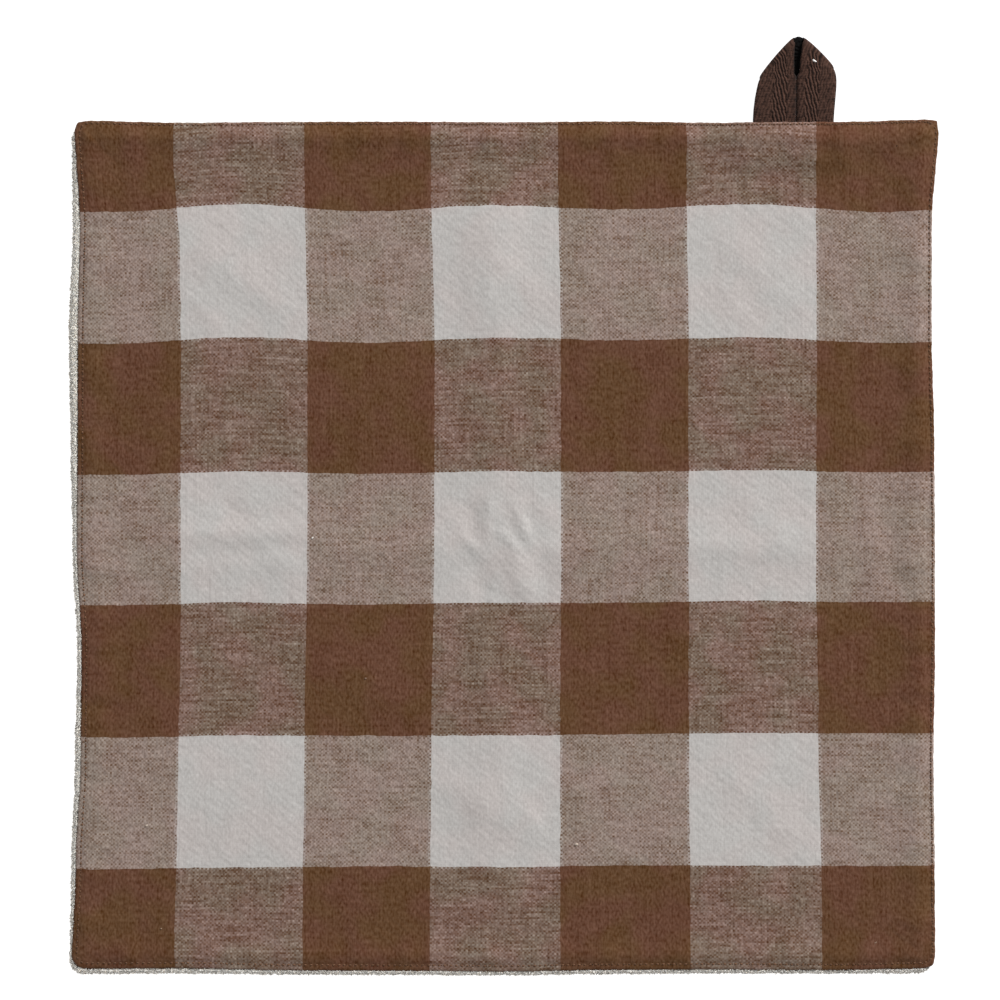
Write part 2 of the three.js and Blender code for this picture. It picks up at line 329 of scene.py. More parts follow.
def ring(panel, inset, count):
    """One line round a panel, inset inside its edge, anticlockwise from the lower left corner."""
    half = panel["half"] - inset
    radius = max(CORNER - inset, 0.0)
    steps = np.arange(count) / count * 2 - 1
    points = []
    for out, along, reach, run in (((0, -1), (1, 0), half[1], half[0]),
                                   ((1, 0), (0, 1), half[0], half[1]),
                                   ((0, 1), (-1, 0), half[1], half[0]),
                                   ((-1, 0), (0, -1), half[0], half[1])):
        place = steps * run
        away = np.full(count, reach)
        if radius > 0:
            past = np.abs(place) - (run - radius)
            turn = np.clip(past / radius, 0, 1) * math.pi / 4
            away = np.where(past > 0, reach - radius + radius * np.cos(turn), away)
            place = np.where(past > 0, np.sign(place) * (run - radius + radius * np.sin(turn)),
                             place)
        points.append(np.outer(away, out) + np.outer(place, along))
    return bowed(panel, np.concatenate(points))


def outward(line):
    """At each point of a closed anticlockwise line, the unit vector that points out of it."""
    step = np.roll(line, -1, axis=0) - np.roll(line, 1, axis=0)
    out = np.stack([step[:, 1], -step[:, 0]], axis=1)
    return out / np.linalg.norm(out, axis=1)[:, None]


front = panel_from_box("front_panel", FRONT_BOW, FRONT_CREEP)
back = panel_from_box("back_panel", BACK_BOW, BACK_CREEP)
print("front measures", (front["half"] * 2).round(1), "mm, back", (back["half"] * 2).round(1))

# %% [markdown]
# ## How the front lies
#
# The front is a thin cloth on its solid: flat between the hems, with the seam allowance turned in
# under its edge. That makes a raised band, and the topstitching pulls a groove into it. On top of
# that come the soft rises of the solid, the two lines where the cloth was folded in four, the hump
# over the ends of the loop, and listed creases, one row for each.

# %% How the front lies
STITCH_INSET = 2.0     # mm from the edge to the topstitching, which holds the cloth down
# Soft rises in slanting rows, which begin and are in full this far inside the edge.
FULLNESS = {"height": 0.4, "across": 92.0, "along": 150.0, "slant": 0.45, "from": 12, "full": 36}
FOLD_LINE = {"x": -3.5, "y": -0.7, "height": 0.5, "half_width": 9.0}
LOOP_X = 100.8         # the middle of the loop's foot, on the front's top edge
LOOP_Y = front["middle"][1] + front["half"][1]
# Where the tape's two ends lie under the front, and how far from there it falls off.
HUMP = {"height": 1.3, "left": LOOP_X - 16.4, "right": LOOP_X + 16.1, "inner": LOOP_Y - 11.5,
        "fall": 10.0}
print("the loop's foot is at", round(LOOP_X, 1), round(LOOP_Y, 1), "mm")

# %% [markdown]
# ### Creases
#
# A washed cloth that was folded in four keeps soft ridges where it was handled. A cloth
# simulation gives some creases, but not these, so each is a row in a table: a long, low hill
# with a round back, which fades out at both ends.

# %% Creases
CREASES_BEGIN = (2.5, 9.0)  # mm from the edge; the topstitching holds them down up to here
CREASES = [
    # x, y, direction in degrees from the x axis, half length, half width, height (below 0 it
    # is a trough), all in mm
    (-92, 5.0, 2, 26, 3.0, 0.28),
    (-92, -1.8, 2, 26, 3.5, -0.38),
    (-50, -1.5, -4, 16, 4.0, 0.26),
    (86, -1.0, -3, 22, 4.0, 0.27),
    (40, 0.5, 5, 18, 4.5, 0.22),
    (-6.0, 98, 90, 24, 11.0, 0.68),
    (-3.5, 50, 86, 20, 4.5, 0.24),
    (-6.0, -42, 94, 16, 4.5, 0.22),
    (-6.0, -91, -30, 20, 6.5, 0.50),
    # the little fan of creases where the two folds cross
    (6.3, 7.2, -67, 7.8, 1.7, 0.60),
    (1.5, 1.7, -47, 5.0, 1.3, 0.54),
    (-12.2, 0.9, -45, 4.5, 1.5, 0.46),
    (-6.0, 9.4, -95, 7.5, 2.3, 0.44),
    (-11.5, 8.2, -97, 6.5, 2.3, -0.34),
    (5.4, -10.4, -73, 9.5, 4.8, 1.0),
    (-9.0, -11.5, -72, 8.0, 4.0, -0.50),
    (19.5, -5.0, -70, 7.0, 4.0, 0.40),
    (14.0, 12.0, -60, 7.0, 3.2, 0.22),
    (-16.0, 9.0, -40, 8.0, 3.0, 0.18),
    (129, -6.0, 92, 14, 3.6, 0.45),
    (140.5, -1.0, 92, 13, 3.4, 0.34),
    (126, 8.0, 80, 8, 3.0, 0.34),
    (116, 16, 70, 14, 5.0, 0.30),
    (124, 140.5, -3, 16, 4.0, 0.41),
    (92, -92, -42, 20, 6.0, 0.32),
    (-88, -88, 38, 22, 7.0, 0.30),
    (-90, 92, -36, 20, 6.0, 0.34),
    (-102, 78, -50, 12, 3.5, 0.22),
    (88, 96, -40, 22, 6.5, 0.35),
    (80, 84, -55, 10, 3.2, 0.21),
    (92, 8, -45, 14, 4.5, 0.26),
    (-80, -4, -38, 12, 4.0, 0.22),
    (-96, 14, -44, 12, 4.0, -0.22),
    (6, 92, -48, 12, 4.0, 0.24),
    (6, -92, -50, 12, 4.0, 0.20),
    (44, 52, 34, 24, 8.0, -0.30),
    (-46, -50, -30, 24, 8.0, 0.29),
    (50, -48, 64, 22, 8.0, -0.27),
    (-48, 50, 52, 26, 8.0, 0.30),
]
print(len(CREASES), "creases, the highest", max(row[-1] for row in CREASES), "mm")

# %% [markdown]
# ### The hem
#
# Inside the topstitching lie four layers of cloth, two of them turned in. Two panels are never
# quite the same length, so one is eased onto the other, and the hem waves and is fuller in one
# place than in the next. Sums of sines of unlike lengths never quite repeat, and cost nothing.

# %% The hem
# Slow waves along the hems, where the two panels were eased together: wave length, height.
HEM_WAVES = [(23.0, 0.10), (14.3, 0.08), (9.1, 0.06), (37.0, 0.12)]
WAVES_BEGIN = (0.6, 4.0)    # they swell between these distances from the edge,
WAVES_END = (8.0, 20.0)     # and die out between these
WAVES_SHIFT = 1.7      # moves each wave along the next,
WAVES_SLANT = 0.02     # and keeps two edges from waving alike
# The hem is fuller or flatter than its plain section in a few bands along its sides. Those
# inside the topstitching begin only where it lets go of the cloth.
FULLER_BEGINS = (2.0, 4.5)
HEM_FULLER = [
    # side, how much fuller, how far from the edge, half width, in mm
    ("left", -0.28, 6.3, 3.6),
    ("bottom", -0.14, 7.5, 2.8),
    ("top", 0.28, 5.4, 2.4),
    ("top", 0.24, 10.8, 5.0),
    ("right", 0.12, 5.0, 2.2),
    ("right", 0.26, 9.5, 5.5),
    ("left", 0.06, 0.9, 0.6),
    ("right", 0.18, 0.9, 0.6),
]
print("the hem waves by at most", round(sum(high for _, high in HEM_WAVES), 2), "mm")

# %% The lift of the front


def lift_of_front(points, inset):
    """How far the front rises above its plain section at each point."""
    x, y = points[:, 0], points[:, 1]
    across = x + FULLNESS["slant"] * y
    along = y - FULLNESS["slant"] * x
    swell = np.sin(math.tau * across / FULLNESS["across"])
    swell = swell * np.cos(math.tau * along / FULLNESS["along"])
    ridge_x = np.exp(-((x - FOLD_LINE["x"]) / FOLD_LINE["half_width"]) ** 2)
    ridge_y = np.exp(-((y - FOLD_LINE["y"]) / FOLD_LINE["half_width"]) ** 2)
    inside = ease(inset, FULLNESS["from"], FULLNESS["full"])
    lift = inside * (FULLNESS["height"] * (1 + swell) / 2
                     + FOLD_LINE["height"] * np.maximum(ridge_x, ridge_y))

    creases = np.zeros(len(points))
    for cx, cy, direction, length, width, height in CREASES:
        turn = math.radians(direction)
        run = (x - cx) * math.cos(turn) + (y - cy) * math.sin(turn)
        off = (y - cy) * math.cos(turn) - (x - cx) * math.sin(turn)
        creases += height * np.exp(-(off / width) ** 2 - (run / length) ** 4)
    lift += creases * ease(inset, *CREASES_BEGIN)

    apart = {"left": x - front["middle"][0] + front["half"][0],
             "right": front["half"][0] - x + front["middle"][0],
             "bottom": y - front["middle"][1] + front["half"][1],
             "top": front["half"][1] - y + front["middle"][1]}
    for side, more, at, width in HEM_FULLER:
        held_down = ease(inset, *FULLER_BEGINS) if at > STITCH_INSET else 1.0
        lift += more * np.exp(-((apart[side] - at) / width) ** 2) * held_down

    from_left = ease(x, HUMP["left"] - HUMP["fall"], HUMP["left"])
    from_right = 1 - ease(x, HUMP["right"], HUMP["right"] + HUMP["fall"])
    from_inside = ease(y, HUMP["inner"] - HUMP["fall"], HUMP["inner"])
    return lift + HUMP["height"] * from_left * from_right * from_inside


def run_of_edge(points):
    """How far along its nearest edge each point of the front lies."""
    share = np.abs(points) / front["half"]
    return np.where(share[:, 0] > share[:, 1], points[:, 1], points[:, 0])


def hem_waves(points, inset):
    """Small uneven waves along the hem, strongest in the raised band."""
    run = run_of_edge(points)
    slant = WAVES_SLANT * points.sum(axis=1)
    waves = np.zeros(len(points))
    for k, (length, height) in enumerate(HEM_WAVES):
        waves += height * np.sin(math.tau * run / length + WAVES_SHIFT * k + slant)
    return waves * ease(inset, *WAVES_BEGIN) * (1 - ease(inset, *WAVES_END))


sample = np.array([[0.0, 0.0], [100.0, 60.0], [127.0, 2.0]])
print("the front lifts", lift_of_front(sample, np.array([150.0, 48, 23])).round(2), "mm there")

# %% [markdown]
# ## The check follows the threads
#
# Washed and sewn, its lines wander: the corners are pulled out and the white warp bands,
# woven slacker, bow the crosswise lines up. So each point of the mesh carries its place in
# the cloth, in millimetres along the threads, and the material reads that instead of the
# place on the table.

# %% The check follows the threads
BAND_WARP = 44.64      # mm from one warp line to the next
BAND_WEFT = 45.96      # mm from one weft line to the next
DRIFT_REACH = 135.0    # the drift is given from this far on one side to this far on the other
# The six lines along the warp: where they lie on the straight cloth, and how far they have
# drifted to the right at even places from the bottom to the top. The first bends most.
WARP_LINES = [-114.1 + BAND_WARP * line for line in range(6)]
WARP_DRIFT = [
    [-0.9, -0.1, 0.5, 1.1, 1.25, 1.1, 1.3, 0.95, -1.3],
    [-1.05, -0.35, 0.65, 0.7, -0.4],
    [-1.35, -0.8, 0.2, 0.35, -1.0],
    [-0.5, -0.6, -0.25, -0.4, -1.3],
    [0.2, -0.4, -0.5, -0.55, -1.2],
    [1.35, 0.2, -0.75, -0.45, -0.75],
]
# The six lines along the weft: where they lie, how far they bow up in the white warp bands and
# down in the brown ones, and how far they have drifted up at seven places from the left to the
# right.
WEFT_LINES = [-111.7 + BAND_WEFT * line for line in range(6)]
WEFT_BOW = [0.05, 0.2, 0.3, 0.4, 0.8, 1.15]
WEFT_DRIFT = [
    [-0.8, -0.35, 0.15, -0.1, 0.5, 0.25, 0.35],
    [-0.85, -0.45, -0.25, -0.45, 0.35, 0.45, 0.6],
    [-0.55, -0.25, -0.3, -0.3, 0.3, 0.4, 0.5],
    [-1.05, -0.65, -0.65, -0.55, 0.0, -0.2, -0.15],
    [-0.95, -0.2, -0.55, -0.4, 0.4, -0.3, -0.65],
    [-0.65, -0.2, -0.4, -0.65, 0.3, -0.25, -0.75],
]
WHITE_BAND_X = -3.2    # middle of the middle white warp band


def along_lines(value, lines, shifts):
    """Reads a place between drifting lines back to where it is between the straight ones."""
    lines = np.array(lines)[:, None]
    found = lines + shifts
    between = np.clip((value[None, :] > found).sum(axis=0), 1, len(lines) - 1)
    columns = np.arange(len(value))
    low, high = found[between - 1, columns], found[between, columns]
    part = (value - low) / (high - low)
    straight = lines[between - 1, 0] + part * (lines[between, 0] - lines[between - 1, 0])
    straight = np.where(part < 0, value - low + lines[between - 1, 0], straight)
    return np.where(part > 1, value - high + lines[between, 0], straight)


def place_in_cloth(points):
    """Each point's place along the weft (u) and along the warp (v), in mm."""
    x, y = points[:, 0], points[:, 1]
    up = (y + DRIFT_REACH) / (2 * DRIFT_REACH)
    across = (x + DRIFT_REACH) / (2 * DRIFT_REACH)
    drift = np.array([table_at(row, up) for row in WARP_DRIFT])
    bow = np.cos(math.pi * (x - WHITE_BAND_X) / BAND_WARP)
    rise = np.outer(WEFT_BOW, bow) + np.array([table_at(row, across) for row in WEFT_DRIFT])
    return np.stack([along_lines(x, WARP_LINES, drift), along_lines(y, WEFT_LINES, rise),
                     np.zeros(len(x))], axis=1)


print("the middle of the cloth is at", place_in_cloth(np.zeros((1, 2)))[0].round(2))

# %% [markdown]
# ## The front as a mesh
#
# A grid covers the middle, and rings follow the hem: they run in from the grid over the raised
# band and the groove, round the rim, under it, and back in as the turned seam allowance to its
# raw edge, then out again inside the fold and in under the face. That is how the real hem is
# folded, and it closes the mesh. A Solidify modifier would give thickness too, but no turned
# edge. The rings are fine where the stitches pucker the cloth and coarse where nothing shows.

# %% The front as a mesh
FACE_CELLS = 200       # cells along one side of the face grid, about 1.3 mm each
HEM_CELLS = 400        # segments along one side of a hem ring, about 0.75 mm each
INNER_CELLS = 50       # cells along one side of the grid that closes the cloth below
HEM_START = 16.0       # mm from the edge, where the grid ends and the rings begin
STITCH_PITCH = 1.95    # mm
PUCKER = (0.07, 1.1)   # how high the cloth rises between two stitches, and how far off, in mm
FACE_HEIGHT = 1.0      # of the face in the middle of the cloth, above the solid's underside
CLOTH_THICKNESS = 0.5
GROOVE = 0.95          # height of the stitch line

# Each ring's inset from the edge and its height above the solid's underside, in mm.
FRONT_HEM = [
    (14.8, 1.02), (13.6, 1.03), (12.4, 1.06), (11.2, 1.12), (10.2, 1.20), (9.2, 1.30),
    (8.4, 1.39), (7.6, 1.48), (6.8, 1.55), (5.9, 1.58), (5.0, 1.55), (4.2, 1.46), (3.5, 1.33),
    (3.0, 1.21), (2.6, 1.10), (2.3, 1.01), (2.0, GROOVE), (1.7, 0.955), (1.4, 0.95), (1.0, 0.92),
    (0.6, 0.86), (0.25, 0.72), (0.05, 0.53), (0.0, 0.38), (0.12, 0.18), (0.45, 0.04), (0.9, 0.0),
]
FRONT_ALLOWANCE = [
    (4.0, 0.0), (8.0, 0.02), (8.3, 0.22), (8.0, 0.42), (4.0, 0.42), (2.0, 0.34), (1.5, 0.40),
    (2.2, 0.50), (3.2, 0.84), (5.0, 1.14), (7.2, 1.06), (9.6, 0.80), (12.0, 0.60),
]
print(len(FRONT_HEM), "rings over the hem and", len(FRONT_ALLOWANCE), "in the allowance")

# %% Grids, and faces between rings


def grid(panel, inset, cells):
    """Points of a square grid inside the ring at inset, row by row, and each point's inset."""
    half = panel["half"] - inset
    steps = np.linspace(-1, 1, cells + 1)
    x, y = np.meshgrid(steps * half[0], steps * half[1])
    square = np.stack([x.ravel(), y.ravel()], axis=1)
    return bowed(panel, square), (panel["half"] - np.abs(square)).min(axis=1)


def grid_border(cells):
    """Numbers of the grid's border points, anticlockwise from the lower left corner."""
    side = cells + 1
    bottom = list(range(cells))
    right = [side * k + cells for k in range(cells)]
    top = [side * cells + cells - k for k in range(cells)]
    left = [side * (cells - k) for k in range(cells)]
    return bottom + right + top + left


def grid_faces(cells):
    """Quads of the grid, facing up."""
    side = cells + 1
    return [(r * side + c, r * side + c + 1, (r + 1) * side + c + 1, (r + 1) * side + c)
            for r in range(cells) for c in range(cells)]


def bridge(inner, outer):
    """Faces between two rings, facing up when outer is outside. One ring has as many points
    as the other, or a whole number of times as many."""
    faces = []
    if len(inner) == len(outer):
        for k in range(len(inner)):
            n = (k + 1) % len(inner)
            faces.append((inner[k], outer[k], outer[n], inner[n]))
    elif len(outer) > len(inner):
        step = len(outer) // len(inner)
        for k in range(len(inner)):
            n = (k + 1) % len(inner)
            for j in range(step):
                here = inner[k] if j < step / 2 else inner[n]
                last = (k * step + j + 1) % len(outer)
                faces.append((here, outer[k * step + j], outer[last]))
            faces.append((inner[k], outer[(k * step + (step + 1) // 2) % len(outer)], inner[n]))
    else:
        faces = [tuple(reversed(face)) for face in bridge(outer, inner)]
    return faces


print("a ring of 8 points and one of 16 are joined by", len(bridge(range(8), range(16))), "faces")

# %% A sheet with a turned edge, and the front


def turned_sheet(panel, hem, allowance, face, inner_height, fine, coarse, lift):
    """A cloth whose edge is turned in. Gives its points, each point's flat inset and faces."""
    face_cells, inner_cells = face
    points, insets = grid(panel, HEM_START, face_cells)
    height = hem[0][1]
    blocks = [np.column_stack([points, height + lift(points, insets)])]
    flats = [points]
    faces = grid_faces(face_cells)
    last = grid_border(face_cells)
    start = len(points)
    wrapped = HEM_START
    previous = (HEM_START, height)
    for rows, cells in ((hem, fine), (allowance, coarse)):
        for inset, above in rows:
            wrapped -= math.dist((inset, above), previous)
            previous = (inset, above)
            points = ring(panel, inset, cells)
            rise = lift(points, np.full(len(points), inset))
            blocks.append(np.column_stack([points, above + rise]))
            flats.append(ring(panel, wrapped, cells))
            here = list(range(start, start + len(points)))
            faces += bridge(last, here)
            last, start = here, start + len(points)
    points, insets = grid(panel, HEM_START, inner_cells)
    blocks.append(np.column_stack([points, inner_height + lift(points, insets)]))
    flats.append(points)
    here = [start + k for k in grid_border(inner_cells)]
    faces += bridge(last, here)
    faces += [tuple(start + k for k in reversed(quad)) for quad in grid_faces(inner_cells)]
    return np.concatenate(blocks), np.concatenate(flats), faces


def lift_with_puckers(points, inset):
    """The front's lift, with hem waves and the small puckers between the stitches."""
    height, width = PUCKER
    pull = np.exp(-((inset - STITCH_INSET) / width) ** 2)
    pucker = height * np.cos(math.tau * run_of_edge(points) / STITCH_PITCH) * pull
    return lift_of_front(points, inset) + hem_waves(points, inset) + pucker


front_points, front_flat, front_faces = turned_sheet(
    front, FRONT_HEM, FRONT_ALLOWANCE, (FACE_CELLS, INNER_CELLS),
    FACE_HEIGHT - CLOTH_THICKNESS, HEM_CELLS, HEM_CELLS // 4, lift_with_puckers)
front_points[:, 2] += front["underside"]
print("the front's highest point is", front_points[:, 2].max().round(2), "mm up")

# %% [markdown]
# ## Gingham: plain-woven cotton in two colours
#
# Gingham has only two yarns, brown and white, in bands of the same width both ways. Where both
# are brown the cloth is brown, and where they cross it is a fine mix, because each thread goes
# over and under the next. Here the weave itself makes that mix: a wave along each thread says
# which one lies on top, and the colour is that thread's. Cotton is matt and a little hairy, so
# it is rough, has a faint sheen, and its yarn is uneven in tone.

# %% Gingham: the threads
WARP_THREADS = 62      # in one band: 0.72 mm a thread
WEFT_THREADS = 70      # in one band: 0.66 mm a thread
SWAY = 2.0             # threads, at the noise's full reach; mostly they sway a third of one

gingham, tree = new_material("gingham cotton, plain weave")
place = add(tree, "Attribute", attribute_name="cloth", out=1)
place_split = add(tree, "SeparateXYZ", {0: place}).node.outputs
# Threads don't run dead straight: a slow noise sways them.
sway = add(tree, "TexNoise", {"Vector": place, "Scale": 0.16, "Detail": 4.0, "Roughness": 0.68},
           out=1)
sway_split = add(tree, "SeparateXYZ", {0: sway}).node.outputs

# The same steps for both sets of threads. Threads are counted from the first line, so that
# bands begin between two of them, and every second band is white.
found = []
for k, line, count, band in ((0, WARP_LINES[0], WARP_THREADS, BAND_WARP),
                             (1, WEFT_LINES[0], WEFT_THREADS, BAND_WEFT)):
    run = add(tree, "Math", {0: place_split[k], 1: -line}, operation="ADD")
    run = add(tree, "Math", {0: run, 1: count / band}, operation="MULTIPLY")
    shift = add(tree, "Math", {0: sway_split[k], 1: 0.5}, operation="SUBTRACT")
    run = add(tree, "Math", {0: shift, 1: SWAY, 2: run}, operation="MULTIPLY_ADD")
    number = add(tree, "Math", {0: run}, operation="FLOOR")
    turn = add(tree, "Math", {0: number, 1: 2.0 * count}, operation="FLOORED_MODULO")
    white = add(tree, "Math", {0: turn, 1: count - 0.5}, operation="LESS_THAN")
    wave = add(tree, "Math", {0: run, 1: math.pi}, operation="MULTIPLY")
    found.append((run, number, white, add(tree, "Math", {0: wave}, operation="SINE")))
(warp, warp_number, warp_white, warp_wave), (weft, weft_number, weft_white, weft_wave) = found
both_white = add(tree, "Math", {0: warp_white, 1: weft_white}, operation="MULTIPLY")
any_white = add(tree, "Math", {0: warp_white, 1: weft_white}, operation="MAXIMUM")
# Which thread is on top: the product of the two waves is a chequer of thread crossings.
wave = add(tree, "Math", {0: warp_wave, 1: weft_wave}, operation="MULTIPLY")
print("a warp thread is", round(BAND_WARP / WARP_THREADS, 2), "mm wide, a weft thread",
      round(BAND_WEFT / WEFT_THREADS, 2), "mm")

# %% [markdown]
# ### Which thread shows
#
# The weft is beaten in tighter and covers about 70 percent, so the mix is paler where the weft
# is white. A perfect chequer would look printed. Yarn is thick here and thin there, and each of
# the noises below lets a little more of the warp or of the weft through.

# %% Which thread shows
WARP_SHOWS = 0.31      # share of the face that the warp covers
TONE_RUN = {"weft": 17.0, "warp": 27.0}  # mm along a thread until its tone has changed
CLEAR = 0.19           # how far the chequer of crossings moves the share that the warp covers,
CLEARER_IN_WHITE = 0.15  # how much more where the weft is white,
CLEARER_AT_LINE = 0.22   # and how much more beside a line of the check
AT_LINE = (0.9, 1.5)   # threads from the line: still beside it, and no longer

# Each thread has its own tone, and it changes slowly along the thread.
weft_run = add(tree, "CombineXYZ", {
    0: add(tree, "Math", {0: place_split[0], 1: 1 / TONE_RUN["weft"]}, operation="MULTIPLY"),
    1: add(tree, "Math", {0: weft_number, 1: 0.7}, operation="MULTIPLY"),
    2: 3.0})
warp_run = add(tree, "CombineXYZ", {
    0: add(tree, "Math", {0: warp_number, 1: 0.8}, operation="MULTIPLY"),
    1: add(tree, "Math", {0: place_split[1], 1: 1 / TONE_RUN["warp"]}, operation="MULTIPLY"),
    2: 9.0})
weft_tone = add(tree, "TexNoise", {"Vector": weft_run, "Scale": 1.0, "Detail": 1.5})
warp_tone = add(tree, "TexNoise", {"Vector": warp_run, "Scale": 1.0, "Detail": 1.5})

cell = add(tree, "CombineXYZ", {0: warp_number, 1: weft_number, 2: 0.0})
nub = add(tree, "TexWhiteNoise", {"Vector": cell}, noise_dimensions="3D")
# Thick and thin yarn lets more of one thread or the other through, in short streaks along the
# weft and in clouds of eight millimetres.
streaky = add(tree, "VectorMath", {0: place, 1: (0.55, 1.25, 1.0)}, operation="MULTIPLY")
lumps = add(tree, "TexNoise", {"Vector": streaky, "Scale": 0.75, "Detail": 1.5})
clouds = add(tree, "TexNoise", {"Vector": place, "Scale": 0.12, "Detail": 2.5})
# The chequer is clearest where the weft is white, and beside a white square, where the first
# brown thread shows as a row of dots and makes a fine saw edge.
from_line_u = add(tree, "Math", {0: warp, 1: WARP_THREADS / 2}, operation="PINGPONG")
from_line_v = add(tree, "Math", {0: weft, 1: WEFT_THREADS / 2}, operation="PINGPONG")
from_line = add(tree, "Mix", {0: weft_white, 2: from_line_v, 3: from_line_u}, data_type="FLOAT")
at_line = add(tree, "MapRange", {0: from_line, 1: AT_LINE[0], 2: AT_LINE[1], 3: 1.0, 4: 0.0})
clear = add(tree, "Math", {0: weft_white, 1: CLEARER_IN_WHITE, 2: CLEAR},
            operation="MULTIPLY_ADD")
clear = add(tree, "Math", {0: at_line, 1: CLEARER_AT_LINE, 2: clear}, operation="MULTIPLY_ADD")
share = add(tree, "Math", {0: wave, 1: clear, 2: WARP_SHOWS}, operation="MULTIPLY_ADD")
# Each source of unevenness counts by so much, and by so much more where the weft is white.
for part, much, more in ((lumps, 0.54, 0.14), (weft_tone, 0.76, 0.44), (warp_tone, 0.18, 0.92),
                         (clouds, 0.32, 0.28), (nub, 0.28, 0.20)):
    much = add(tree, "Math", {0: weft_white, 1: more, 2: much}, operation="MULTIPLY_ADD")
    centred = add(tree, "MapRange", {0: part, 3: -0.5, 4: 0.5})
    share = add(tree, "Math", {0: centred, 1: much, 2: share}, operation="MULTIPLY_ADD")
warp_on_top = add(tree, "MapRange", {0: share, 1: 0.0, 2: 1.0, 3: 0.0, 4: 1.0})
print("gingham has", len(tree.nodes), "nodes so far")

# %% Colour of the thread on top
BROWN = "#5c3d28"
# The darker white between brown threads is partly painted shade from its brown neighbours and
# partly their colour bleeding in; beside a line of the check it is paler.
BROWN_AMONG_WHITE = "#5f4736"  # a brown thread looks paler between white ones,
WHITE = "#b4afac"
WHITE_AMONG_BROWN = "#96877e"  # and a white thread darker between brown ones
PALER_AT_LINE = 0.35   # share of the way from that darker white to the full one beside a line

paler = add(tree, "Math", {0: at_line, 1: PALER_AT_LINE}, operation="MULTIPLY")
white_yarn = add(tree, "Mix", {0: paler, 6: linear(WHITE_AMONG_BROWN), 7: linear(WHITE)},
                 **COLOURS)
paler_brown = add(tree, "Math", {0: weft_white, 1: any_white}, operation="ADD")
paler_brown = add(tree, "Math", {0: paler_brown, 1: 0.5}, operation="MULTIPLY")
brown_yarn = add(tree, "Mix", {0: paler_brown, 6: linear(BROWN), 7: linear(BROWN_AMONG_WHITE)},
                 **COLOURS)
warp_colour = add(tree, "Mix", {0: warp_white, 6: brown_yarn, 7: white_yarn}, **COLOURS)
weft_colour = add(tree, "Mix", {0: weft_white, 6: brown_yarn, 7: white_yarn}, **COLOURS)
top_colour = add(tree, "Mix", {0: warp_on_top, 6: weft_colour, 7: warp_colour}, **COLOURS)
colour = add(tree, "Mix", {0: both_white, 6: top_colour, 7: linear(WHITE)}, **COLOURS)
print("brown is", [round(part, 3) for part in linear(BROWN)[:3]], "in linear light")

# %% [markdown]
# ### Yarn tone
#
# Spun cotton has thick and thin places. Along a thread the tone changes slowly, from one thread
# to the next it jumps, and where a few thick threads lie together a streak shows. The brown dye
# also took a little redder here and greener there.

# %% Yarn tone
TINTS = [
    # what the greener and the redder places multiply: the brown parts, the mixed, the white
    ((0.955, 1.005, 0.84, 1.0), (1.045, 0.995, 1.17, 1.0)),
    ((0.965, 1.005, 0.975, 1.0), (1.07, 0.98, 1.02, 1.0)),
    ((0.965, 1.01, 1.01, 1.0), (1.035, 0.99, 0.985, 1.0)),
]
UNTINTED = 0.55        # share of the tint that doesn't show where the weft is white

# Moved, so that this noise doesn't repeat the one that sways the threads.
moved = add(tree, "VectorMath", {0: place, 1: (40.0, 70.0, 0.0)}, operation="ADD")
# Slubs are longer along the warp than across it.
slubs = add(tree, "VectorMath", {0: moved, 1: (1.45, 0.7, 1.0)}, operation="MULTIPLY")
fibre = add(tree, "TexNoise", {"Vector": slubs, "Scale": 1.0, "Detail": 0.5, "Roughness": 0.6})
wash = add(tree, "TexNoise", {"Vector": moved, "Scale": 0.16, "Detail": 2.5})
tone = add(tree, "MapRange", {0: warp_tone, 1: 0.0, 2: 1.0, 3: 0.76, 4: 1.24})
for part, much in ((weft_tone, 0.30), (fibre, 1.05), (wash, 0.30), (nub, 0.12)):
    centred = add(tree, "Math", {0: part, 1: 0.5}, operation="SUBTRACT")
    tone = add(tree, "Math", {0: centred, 1: much, 2: tone}, operation="MULTIPLY_ADD")
# The brown parts show this unevenness most, the mixed ones less and the white ones least.
for parts, much in ((any_white, 0.85), (both_white, 0.42)):
    calmer = add(tree, "Math", {0: tone, 1: much, 2: 1 - much}, operation="MULTIPLY_ADD")
    tone = add(tree, "Mix", {0: parts, 2: tone, 3: calmer}, data_type="FLOAT")

patches = add(tree, "TexNoise", {"Vector": place, "Scale": 0.065, "Detail": 1.5})
patch = add(tree, "MapRange", {0: patches, 1: 0.40, 2: 0.60, 3: 0.0, 4: 1.0})
tints = [add(tree, "Mix", {0: patch, 6: greener, 7: redder}, **COLOURS)
         for greener, redder in TINTS]
tint = add(tree, "Mix", {0: any_white, 6: tints[0], 7: tints[1]}, **COLOURS)
tint = add(tree, "Mix", {0: both_white, 6: tint, 7: tints[2]}, **COLOURS)
untinted = add(tree, "Math", {0: weft_white, 1: UNTINTED}, operation="MULTIPLY")
tint = add(tree, "Mix", {0: untinted, 6: tint, 7: linear("#ffffff")}, **COLOURS)
colour = add(tree, "Mix", {0: 1.0, 6: colour, 7: tint}, **COLOURS, blend_type="MULTIPLY")
colour = add(tree, "VectorMath", {0: colour, "Scale": tone}, operation="SCALE")
# The light places are pale hairs standing out of the yarn, so they are less brown than the dye.
hairs = add(tree, "Math", {0: tone, 1: 1.0}, operation="SUBTRACT")
hairs = add(tree, "VectorMath", {0: (0.010, 0.030, 0.033), "Scale": hairs}, operation="SCALE")
colour = add(tree, "VectorMath", {0: colour, 1: hairs}, operation="ADD")
print("gingham has", len(tree.nodes), "nodes so far")

# %% [markdown]
# ### Relief, and the front is made
#
# Each float of a thread is a little dome, and washing has left a fine slanting crinkle, its
# rises two to three millimetres apart. Both are too low to model, so they are a bump. Then the
# mesh is made, and each of its points is told its place in the cloth.

# %% Relief, and the front is made
CRINKLE = 0.20         # height of the crinkle in mm
DOME = 0.01            # and of a thread's float

